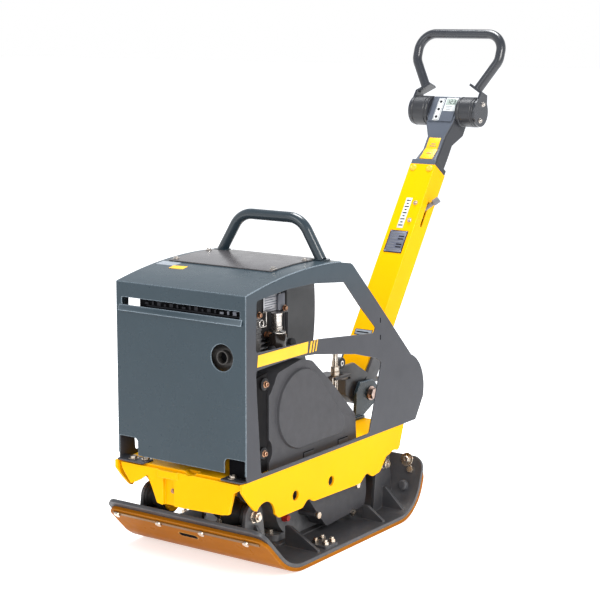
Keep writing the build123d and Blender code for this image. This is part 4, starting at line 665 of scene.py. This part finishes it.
footReach = 0.134
parts = [block(onBar(-0.003, faceBack - 0.0003, footReach), (0.046, 0.0006, 0.015), "inkDark", barTurn),
         block(onBar(-0.003, faceBack - 0.0006, footReach), (0.043, 0.0006, 0.012), "labelGrey", barTurn),
         block(onBar(-0.005, faceBack - 0.0009, footReach), (0.032, 0.0004, 0.003), "inkDark", barTurn)]
hand(parts, "foot_label", "drawbar")

socketReaches = (0.427, 0.473)
parts = copiesAt(socketScrew(0.0038, 0.0042, "zinc"),
    [(onBar(0.0165, faceBack, reach), -barBack) for reach in socketReaches])
parts += copiesAt(turned(((0.0085, 0), (0.0085, 0.0008), (0.0068, 0.0024), (0.0040, 0.0030),
    (0.0032, 0.0022)), "yellowScrew", 20),
                  [(onBar(x, faceBack, 0.566), -barBack) for x in (-0.022, 0.022)])
hand(parts, "bar_screws", "drawbar")

neckSlope = math.atan2(0.011, 0.037)
labelTurn = (-(barLean + neckSlope), 0, 0)
parts = [block(onBar(0, -0.0187, 0.610), (0.034, 0.0006, 0.034), "labelYellow", labelTurn, 0.0004)]
parts.append(block(onBar(0, -0.0135, 0.6405), (0.032, 0.0006, 0.033), "labelYellow", barTurn, 0.0004))
parts += [block(onBar(0.001, back, reach), (wide, 0.0005, 0.0020), "inkFaded", turn)
          for back, reach, wide, turn in ((-0.0192, 0.612, 0.014, labelTurn),
              (-0.0139, 0.634, 0.018, barTurn), (-0.0139, 0.640, 0.012, barTurn))]
hand(parts, "neck_patch", "drawbar")
print("drawbar plates: 5 pieces")

# counter panel: white frame, grey screen with plain digits, and a strip with three dots
meterSetup = {"screen": (0.0165, 0.7455, 0.033, 0.037), "strip": (-0.0115, 0.731, 0.018, 0.062),
              "digits": (1, 2, 3)}
digitBars = {"top": (0, 1, 1), "upLeft": (-1, 0.5, 0), "upRight": (1, 0.5, 0), "middle": (0, 0, 1),
             "lowLeft": (-1, -0.5, 0),
             "lowRight": (1, -0.5, 0), "base": (0, -1, 1)}
digitShapes = {1: ("upRight", "lowRight"), 2: ("top", "upRight", "middle", "lowLeft", "base"),
               3: ("top", "upRight", "middle", "lowRight", "base")}
digitPitch, digitHalf, digitRise = 0.0082, 0.0024, 0.0052
panelBack = -0.0205
screenX, screenReach, screenWide, screenTall = meterSetup["screen"]
stripX, stripReach, stripWide, stripTall = meterSetup["strip"]
parts = [block(onBar(screenX, panelBack, screenReach), (screenWide, 0.0036, screenTall), "labelWhite",
    barTurn, 0.001),
         block(onBar(screenX + 0.0005, panelBack - 0.0018, screenReach + 0.007),
               (screenWide * 0.86, 0.0008, screenTall * 0.48), "screenGlass", barTurn),
         block(onBar(stripX, panelBack, stripReach), (stripWide, 0.0034, stripTall), "labelWhite",
               barTurn, 0.003, 3),
         block(onBar(stripX, panelBack - 0.0016, stripReach),
               (stripWide * 0.80, 0.0006, stripTall * 0.93), "inkDark", barTurn, 0.003, 3),
         block(onBar(stripX, panelBack - 0.0019, stripReach),
               (stripWide * 0.70, 0.0006, stripTall * 0.90), "labelWhite", barTurn, 0.003, 3)]
for number, digit in enumerate(meterSetup["digits"]):
    for bar in digitShapes[digit]:
        side, level, flat = digitBars[bar]
        digitX = screenX + (number - 1) * digitPitch + side * digitHalf
        digitSize = (0.0048, 0.0004, 0.0013) if flat else (0.0013, 0.0004, 0.0048)
        parts.append(block(onBar(digitX, panelBack - 0.0023, screenReach + 0.007 + level * digitRise),
            digitSize, "inkDark", barTurn, 0.0001))
for row in range(3):
    parts.append(block(onBar(screenX - 0.003, panelBack - 0.0018, screenReach - 0.006 - row * 0.0042),
        (0.016 - row * 0.003, 0.0004, 0.0013), "inkFaded", barTurn, 0.0001))
dotPattern = turned(((0.0036, 0), (0.0036, 0.0006), (0.0026, 0.0011), (0.0010, 0.0013)), "inkDark", 20)
parts += copiesAt(dotPattern, [(onBar(stripX, panelBack - 0.0022, stripReach + level * 0.021), -barBack)
    for level in (-1, 0, 1)])
parts.append(block(onBar(0, -0.0205, 0.730), (0.066, 0.0022, 0.062), "headCoat", barTurn, 0.0008))
panelPiece = hand(parts, "counter_panel", "drawbar")
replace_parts(panelPiece, "hour_meter")

# ribbed sleeves over the hub ends, and the bright bolts of the two end plates
hubPlace = onBar(0, 0, 0.739)
sleeveProfile = ((0.0300, 0.0405), (0.0346, 0.0405), (0.0358, 0.0418), (0.0358, 0.0450), (0.0343, 0.0464),
    (0.0343, 0.0490), (0.0358, 0.0504),
                 (0.0358, 0.0770), (0.0343, 0.0784), (0.0343, 0.0806), (0.0356, 0.0818), (0.0356, 0.0838),
                 (0.0348, 0.0846), (0.0290, 0.0846))
parts = [turned(sleeveProfile, "sleeveBlack", 48, hubPlace, (side, 0, 0)) for side in (-1, 1)]
hand(parts, "hub_sleeves", "drawbar")
endBolts = [(hubPlace + Vector((side * 0.0914, 0, 0)) + barBack * back + barUp * up, (side, 0, 0))
            for side in (-1, 1)
            for back, up in ((-0.004, 0.020), (0.006, -0.019))]
hand(copiesAt(socketScrew(0.0042, 0.0050, "brightBody"), endBolts), "end_bolts", "control")
print("control head: 3 pieces")

# hood: lip of the air slot, a dark baffle sheet behind it as painted shade with fins, blank patches, screws
hoodSetup = {"lip": (0.306, 0.0014, 0.013), "lipTilt": 22, "finCount": 15, "screwRadius": 0.0048}
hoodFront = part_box("hood_shell")[0][1]
parts = [block((0, hoodFront - 0.0022, 0.5150), hoodSetup["lip"], "hood_blue",
    (math.radians(-hoodSetup["lipTilt"]), 0, 0), 0.0006, 3)]
hand(parts, "slot_lip", "upper")
# painted shade: dark sheets behind the slot stand in for the dark space inside
parts = [block((0.022, hoodFront + 0.012, 0.529), (0.262, 0.0012, 0.044), "deepShade"),
         block((0.022, hoodFront + 0.008, 0.509), (0.262, 0.008, 0.0012), "deepShade"),
         block((0.030, hoodFront + 0.010, 0.5225), (0.240, 0.003, 0.003), "inkDark")]
for fin in range(hoodSetup["finCount"]):
    finX = -0.088 + 0.0155 * fin
    finTall = 0.0075 if fin % 3 else 0.0045
    parts.append(block((finX, hoodFront + 0.009, 0.5255 + finTall / 2),
        (0.0042 if fin % 2 else 0.0085, 0.003, finTall), "inkFaded" if fin > 11 else "inkDark", (0, 0, 0),
        0.0003, 1))
hand(parts, "slot_shade_baffle", "upper")


def hoodHeight(y):    # the hood's crown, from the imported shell
    return 0.597 - (y + 0.046) ** 2 / (2 * 1.092)


def hoodTilt(y):
    return -math.atan((y + 0.046) / 1.092)


patches = {"greyPatch": (-0.128, -0.178, 0.048, 0.026, "labelGrey", 0.0),
           "yellowPatch": (-0.088, -0.196, 0.034, 0.020, "labelYellow", 0.12)}
parts = []
for (x, y, wide, deep, finishName, twist) in patches.values():
    parts.append(block((x, y, hoodHeight(y) + 0.0002), (wide, deep, 0.0005), finishName,
        (hoodTilt(y), 0, twist), 0.0002, 1))
hand(parts, "hood_patches", "upper")

footBolts = [((x, y, 0.2061), (0, 0, 1)) for x, y in ((-0.128, -0.294), (-0.102, -0.285), (0.124, -0.294))]
parts = copiesAt(hexScrew(0.013, 0.0062, "zinc", 1.35), footBolts)
coverScrews = [((x, y, hoodHeight(y) + 0.0028), (0, (y + 0.046) / 1.092, 1)) for x in (-0.134, 0.112)
    for y in (-0.146, -0.038)]
parts += copiesAt(socketScrew(hoodSetup["screwRadius"], 0.0044, "brightBody"), coverScrews)
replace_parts(hand(parts, "hood_screws", "upper"), "hood_bolts")

parts = [block((0.1335, hoodFront + 0.016, 0.2255), (0.048, 0.003, 0.042), "deepShade"),
         block((0.1335, hoodFront + 0.008, 0.2065), (0.046, 0.016, 0.002), "blackCap")]
hand(parts, "foot_shade", "upper")

# exhaust: dark dish behind the round hole as painted shade, narrowing to a thin pipe lip
exhaustPlace = Vector((0.104, 0, 0.4426))
holeShadeProfile = ((0.030, 0), (0.034, 0.002), (0.034, 0.004), (0.0145, 0.010), (0.0142, 0.014))
parts = [turned(holeShadeProfile, "deepShade", 40, exhaustPlace + Vector((0, hoodFront + 0.028, 0)),
    (0, -1, 0))]
hand(parts, "exhaust_hole_shade", "upper")
print("hood: 6 pieces")

# side plates: yellow band with slanted stripes on the belt side, and the tab slots as dark marks of painted
# shade
bandSetup = {"start": -0.266, "end": -0.098, "low": 0.4245, "high": 0.4475,
             "stripes": ((-0.092, 0.0062), (-0.081, 0.0050), (-0.0705, 0.0040))}
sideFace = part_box("side_plate_left")[1][0]


def slantedBand(start, end, low, high, lean, finishName):
    piece = block((sideFace + 0.0002, (start + end) / 2, (low + high) / 2),
                  (0.0004, end - start, high - low), finishName, (0, 0, 0), 0.0001, 1)
    bpy.ops.object.mode_set(mode="EDIT")
    bpy.ops.mesh.select_all(action="DESELECT")
    bpy.ops.object.mode_set(mode="OBJECT")
    for vertex in piece.data.vertices:
        vertex.select = vertex.co.z > (low + high) / 2
    bpy.ops.object.mode_set(mode="EDIT")
    bpy.ops.transform.translate(value=(0, lean, 0))
    bpy.ops.object.mode_set(mode="OBJECT")
    return piece


parts = [slantedBand(bandSetup["start"], bandSetup["end"], bandSetup["low"], bandSetup["high"], 0.003,
    "labelYellow")]
for start, wide in bandSetup["stripes"]:
    parts.append(slantedBand(start, start + wide, bandSetup["low"] - 0.001, bandSetup["high"] - 0.001,
        0.006, "labelYellow"))
hand(parts, "side_band", "upper")
parts = []
for side in (-1, 1):
    for y, z in ((0.174, 0.450), (0.175, 0.413)):
        # painted shade: a thin dark mark on the plate stands in for each slot opening
        parts.append(block((side * (sideFace + 0.0001), y, z), (0.0005, 0.0028, 0.0105), "deepShade",
            (0, 0, 0), 0.0001, 1))
hand(parts, "tab_slot_shades", "upper")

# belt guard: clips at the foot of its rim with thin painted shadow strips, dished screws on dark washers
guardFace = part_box("belt_guard")[1][0] - 0.006
parts = []
for y in (-0.068, 0.058):
    parts.append(block((guardFace + 0.0005, y, 0.2085), (0.0012, 0.034, 0.0105), "guard_grey", (0, 0, 0),
        0.0006, 2))
    # painted shadow: thin dark strips along the top and one side of each clip
    parts.append(block((guardFace + 0.0004, y, 0.2146), (0.0010, 0.036, 0.0020), "deepShade", (0, 0, 0),
        0.0002, 1))
    parts.append(block((guardFace + 0.0004, y - 0.0178, 0.2085), (0.0010, 0.0022, 0.0120), "deepShade",
        (0, 0, 0), 0.0002, 1))
hand(parts, "guard_clips", "upper")
guardScrew = [turned(((0.0118, 0), (0.0122, 0.0010), (0.0104, 0.0022), (0.0090, 0.0026),
    (0.0086, 0.0020)), "blackCap", 28),
              turned(((0.0070, 0.0018), (0.0072, 0.0030), (0.0064, 0.0036), (0.0050, 0.0038),
                      (0.0050, 0.0072), (0.0042, 0.0080), (0.0026, 0.0080),
                      (0.0023, 0.0052)), "copperFitting", 24)]
guardSpots = [((guardFace, y, z), (1, 0, 0)) for y, z in ((-0.219, 0.381), (-0.223, 0.243))]
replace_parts(hand(copiesAt(joined(guardScrew), guardSpots), "guard_screw_heads", "upper"),
            "guard_screws")
print("belt side: 4 pieces")

# engine bay: blank type plate, filter with its bowl, ribbed cover, fittings
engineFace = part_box("fan_cowl")[1][0]
plateSetup = {"middle": (-0.079, 0.5125), "size": (0.056, 0.034), "rows": 6}
plateY, plateZ = plateSetup["middle"]
parts = [block((engineFace + 0.0016, plateY, plateZ), (0.0016, *plateSetup["size"]), "brightPlate",
    (0, 0, 0), 0.0006, 2)]
for row in range(plateSetup["rows"]):
    rowZ = plateZ + 0.0125 - 0.0050 * row
    rowWide = (0.048, 0.030, 0.042, 0.048, 0.026, 0.036)[row]
    parts.append(block((engineFace + 0.0026, plateY - (0.048 - rowWide) / 2, rowZ),
        (0.0004, rowWide, 0.0020 if row else 0.0030), "inkFaded", (0, 0, 0), 0.0001, 1))
plateBolt = socketScrew(0.0022, 0.0030, "brightBody")
parts += copiesAt(plateBolt, [((engineFace + 0.002, plateY + across * 0.026,
    plateZ - 0.0155 + up * 0.0315), (1, 0, 0)) for across in (-1, 1) for up in (0, 1)])
hand(parts, "type_plate", "upper")

filterX, filterY = 0.074, -0.082
parts = [turned(((0.0100, 0.4205), (0.0170, 0.4215), (0.0196, 0.4270), (0.0205, 0.4440), (0.0205, 0.4520),
    (0.0190, 0.4535)), "bowlGlass", 36, (filterX, filterY, 0)),
         turned(((0.0180, 0.4532), (0.0186, 0.4540), (0.0186, 0.4572), (0.0150, 0.4590), (0.0112, 0.4610),
                 (0.0112, 0.4640), (0.0122, 0.4650), (0.0122, 0.4668),
                 (0.0104, 0.4680), (0.0104, 0.4890), (0.0114, 0.4902), (0.0114, 0.4945),
                 (0.0075, 0.4958)), "brightBody", 36, (filterX, filterY, 0))]
knob = turned(((0.0085, 0), (0.0098, 0.0012), (0.0098, 0.0085), (0.0088, 0.0100), (0.0040, 0.0104)),
              "blackCap", 22)
parts += copiesAt(knob, [((0.080, y, z), (1, 0, 0.25)) for y,
    z in ((-0.112, 0.4215), (-0.096, 0.4135), (-0.060, 0.4165), (-0.045, 0.4270))])
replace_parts(hand(parts, "filter_unit", "upper"), "fuel_filter")

parts = [block((engineFace + 0.006, -0.142, 0.462), (0.012, 0.030, 0.066), "ribbedAlloy", (0, 0, 0),
    0.003, 3)]
for rib in range(6):
    parts.append(block((engineFace + 0.0125, -0.142, 0.438 + rib * 0.0095), (0.004, 0.027, 0.0032),
        "ribbedAlloy", (0, 0, 0), 0.0008, 2))
parts.append(block((engineFace + 0.004, -0.044, 0.462), (0.010, 0.026, 0.060), "ribbedAlloy", (0, 0, 0),
    0.002, 3))
for rib in range(4):
    parts.append(block((engineFace + 0.0095, -0.053 + rib * 0.006, 0.462), (0.003, 0.0022, 0.054),
        "inkDark", (0, 0, 0), 0.0006, 2))
parts.append(block((engineFace + 0.003, -0.049, 0.512), (0.006, 0.024, 0.034), "inkFaded", (0, 0, 0),
    0.0015, 2))
hand(parts, "engine_covers", "upper")

deselectAll()
bpy.ops.mesh.primitive_torus_add(major_radius=0.0072, minor_radius=0.0016, major_segments=28,
    minor_segments=10,
                                 location=(engineFace + 0.0145, -0.131, 0.4790),
                                 rotation=(0, math.radians(90), 0))
settle()
clampRing = dress(bpy.context.active_object, "brightBody")
parts = [clampRing,
         block((engineFace + 0.0135, -0.1135, 0.4860), (0.0026, 0.0030, 0.0300), "brightBody", (0, 0, 0),
               0.0008, 2),
         block((engineFace + 0.0135, -0.1200, 0.4715), (0.0026, 0.0160, 0.0028), "brightBody", (0, 0, 0),
               0.0008, 2)]
parts += copiesAt(hexScrew(0.0090, 0.0060, "copperFitting", 1.2),
    [((engineFace + 0.012, -0.136, 0.497), (1, 0, 0)), ((engineFace + 0.010, -0.045, 0.4985), (1, 0, 0)),
                                                                     ((engineFace + 0.013, -0.149, 0.440),
                                                                      (1, 0, 0)), ((engineFace + 0.006,
                                                                                    -0.104, 0.452), (1, 0, 0))])
for start in (0, 1, 2):
    pipeY = -0.150 + 0.012 * start
    parts.append(turned(((0.0026, 0), (0.0030, 0.0004), (0.0030, 0.0140), (0.0026, 0.0144)), "brightBody",
        14,
                        (engineFace + 0.018, pipeY, 0.4075 + 0.0045 * start), (0, 0.93, 0.37)))
hand(parts, "engine_fittings", "upper")

print("engine bay: 4 pieces")

# stop roller: tyre and flush bolt seen from the side
rollerFace = 0.0430
parts = [turned(((0.0118, 0), (0.0124, 0.0003), (0.0122, 0.0006), (0.0070, 0.0006)), "blackCap", 32,
    (rollerFace, 0.206, 0.336), (1, 0, 0)),
         turned(((0.0060, 0), (0.0060, 0.0007), (0.0046, 0.0008), (0.0020, 0.0004)), "brightBody", 24,
                (rollerFace, 0.206, 0.336), (1, 0, 0))]
hand(parts, "roller_face", "drawbar")

# buffers: coned rubber with a collar at each end
bufferSetup = {"inner": 0.0742, "outer": 0.1258, "height": 0.118}
bufferProfile = ((0.0305, 0.0), (0.0310, 0.0020), (0.0310, 0.0070), (0.0285, 0.0090), (0.0215, 0.0330),
    (0.0205, 0.0370), (0.0225, 0.0390), (0.0235, 0.0430),
                 (0.0270, 0.0450), (0.0275, 0.0500), (0.0262, 0.0516))
parts = [turned(bufferProfile, "rubber", 44, (side * bufferSetup["inner"], y, bufferSetup["height"]),
    (side, 0, 0)) for side in (-1, 1) for y in (-0.240, 0.236)]
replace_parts(hand(parts, "coned_buffers", "upper", 50), "rubber_buffers")

# sole: drain slot in the front of the mat as an amber rim round a dark patch of painted shade, bolt and washer
# on the rear upturn
frontSlope = math.radians(45.5)
frontOutwards = Vector((0, -math.sin(frontSlope), -math.cos(frontSlope)))
slotSetup = {"place": (-0.0075, -0.2698, 0.0606), "straight": 0.0165, "rim": 0.0088, "hole": 0.0066}


def stadium(radius, straight, thick, finishName, place, towards):
    deselectAll()
    bpy.ops.mesh.primitive_circle_add(vertices=36, radius=radius, fill_type="NGON")
    piece = bpy.context.active_object
    bpy.ops.object.mode_set(mode="EDIT")
    bpy.ops.mesh.select_all(action="DESELECT")
    bpy.ops.object.mode_set(mode="OBJECT")
    for side in (-1, 1):
        for vertex in piece.data.vertices:
            vertex.select = vertex.co.x * side > 0.0001
        bpy.ops.object.mode_set(mode="EDIT")
        bpy.ops.mesh.select_mode(type="VERT")
        bpy.ops.transform.translate(value=(side * straight, 0, 0))
        bpy.ops.mesh.select_all(action="DESELECT")
        bpy.ops.object.mode_set(mode="OBJECT")
    bpy.ops.object.mode_set(mode="EDIT")
    bpy.ops.mesh.select_all(action="SELECT")
    bpy.ops.mesh.extrude_region_move(TRANSFORM_OT_translate={"value": (0, 0, thick)})
    bpy.ops.mesh.select_all(action="SELECT")
    bpy.ops.mesh.normals_make_consistent(inside=False)
    bpy.ops.object.mode_set(mode="OBJECT")
    softenEdges(piece, 0.0002, 2, 60)
    piece.rotation_euler = Vector(towards).to_track_quat("Z", "Y").to_euler()
    piece.location = place
    deselectAll()
    piece.select_set(True)
    bpy.context.view_layer.objects.active = piece
    settle()
    return dress(piece, finishName)


# painted shade: the dark patch stands in for the inside of the slot
parts = [stadium(slotSetup["rim"], slotSetup["straight"], 0.0006, "mat_amber", slotSetup["place"],
    frontOutwards),
         stadium(slotSetup["hole"], slotSetup["straight"], 0.0009, "deepShade", slotSetup["place"],
                 frontOutwards)]
hand(parts, "mat_slot", "base")
rearSlope = math.radians(72)
rearNormal = Vector((0, -math.sin(rearSlope), math.cos(rearSlope)))
parts = copiesAt(hexScrew(0.013, 0.0075, "zinc", 1.9), [((0.158, 0.2962, 0.1170), rearNormal)])
parts += copiesAt(turned(((0.0120, 0), (0.0110, 0.0070), (0.0085, 0.0090), (0.0060, 0.0094)),
    "plate_black", 24), [((0.166, 0.2700, 0.0650), rearNormal)])
hand(parts, "rear_bolt", "base")
parts = copiesAt(hexScrew(0.007, 0.0035, "copperFitting", 1.2), [((-0.022, -0.2992, 0.157), (0, -1, 0))])
hand(parts, "beam_bolt", "upper")
print("sole and beam: 3 pieces")
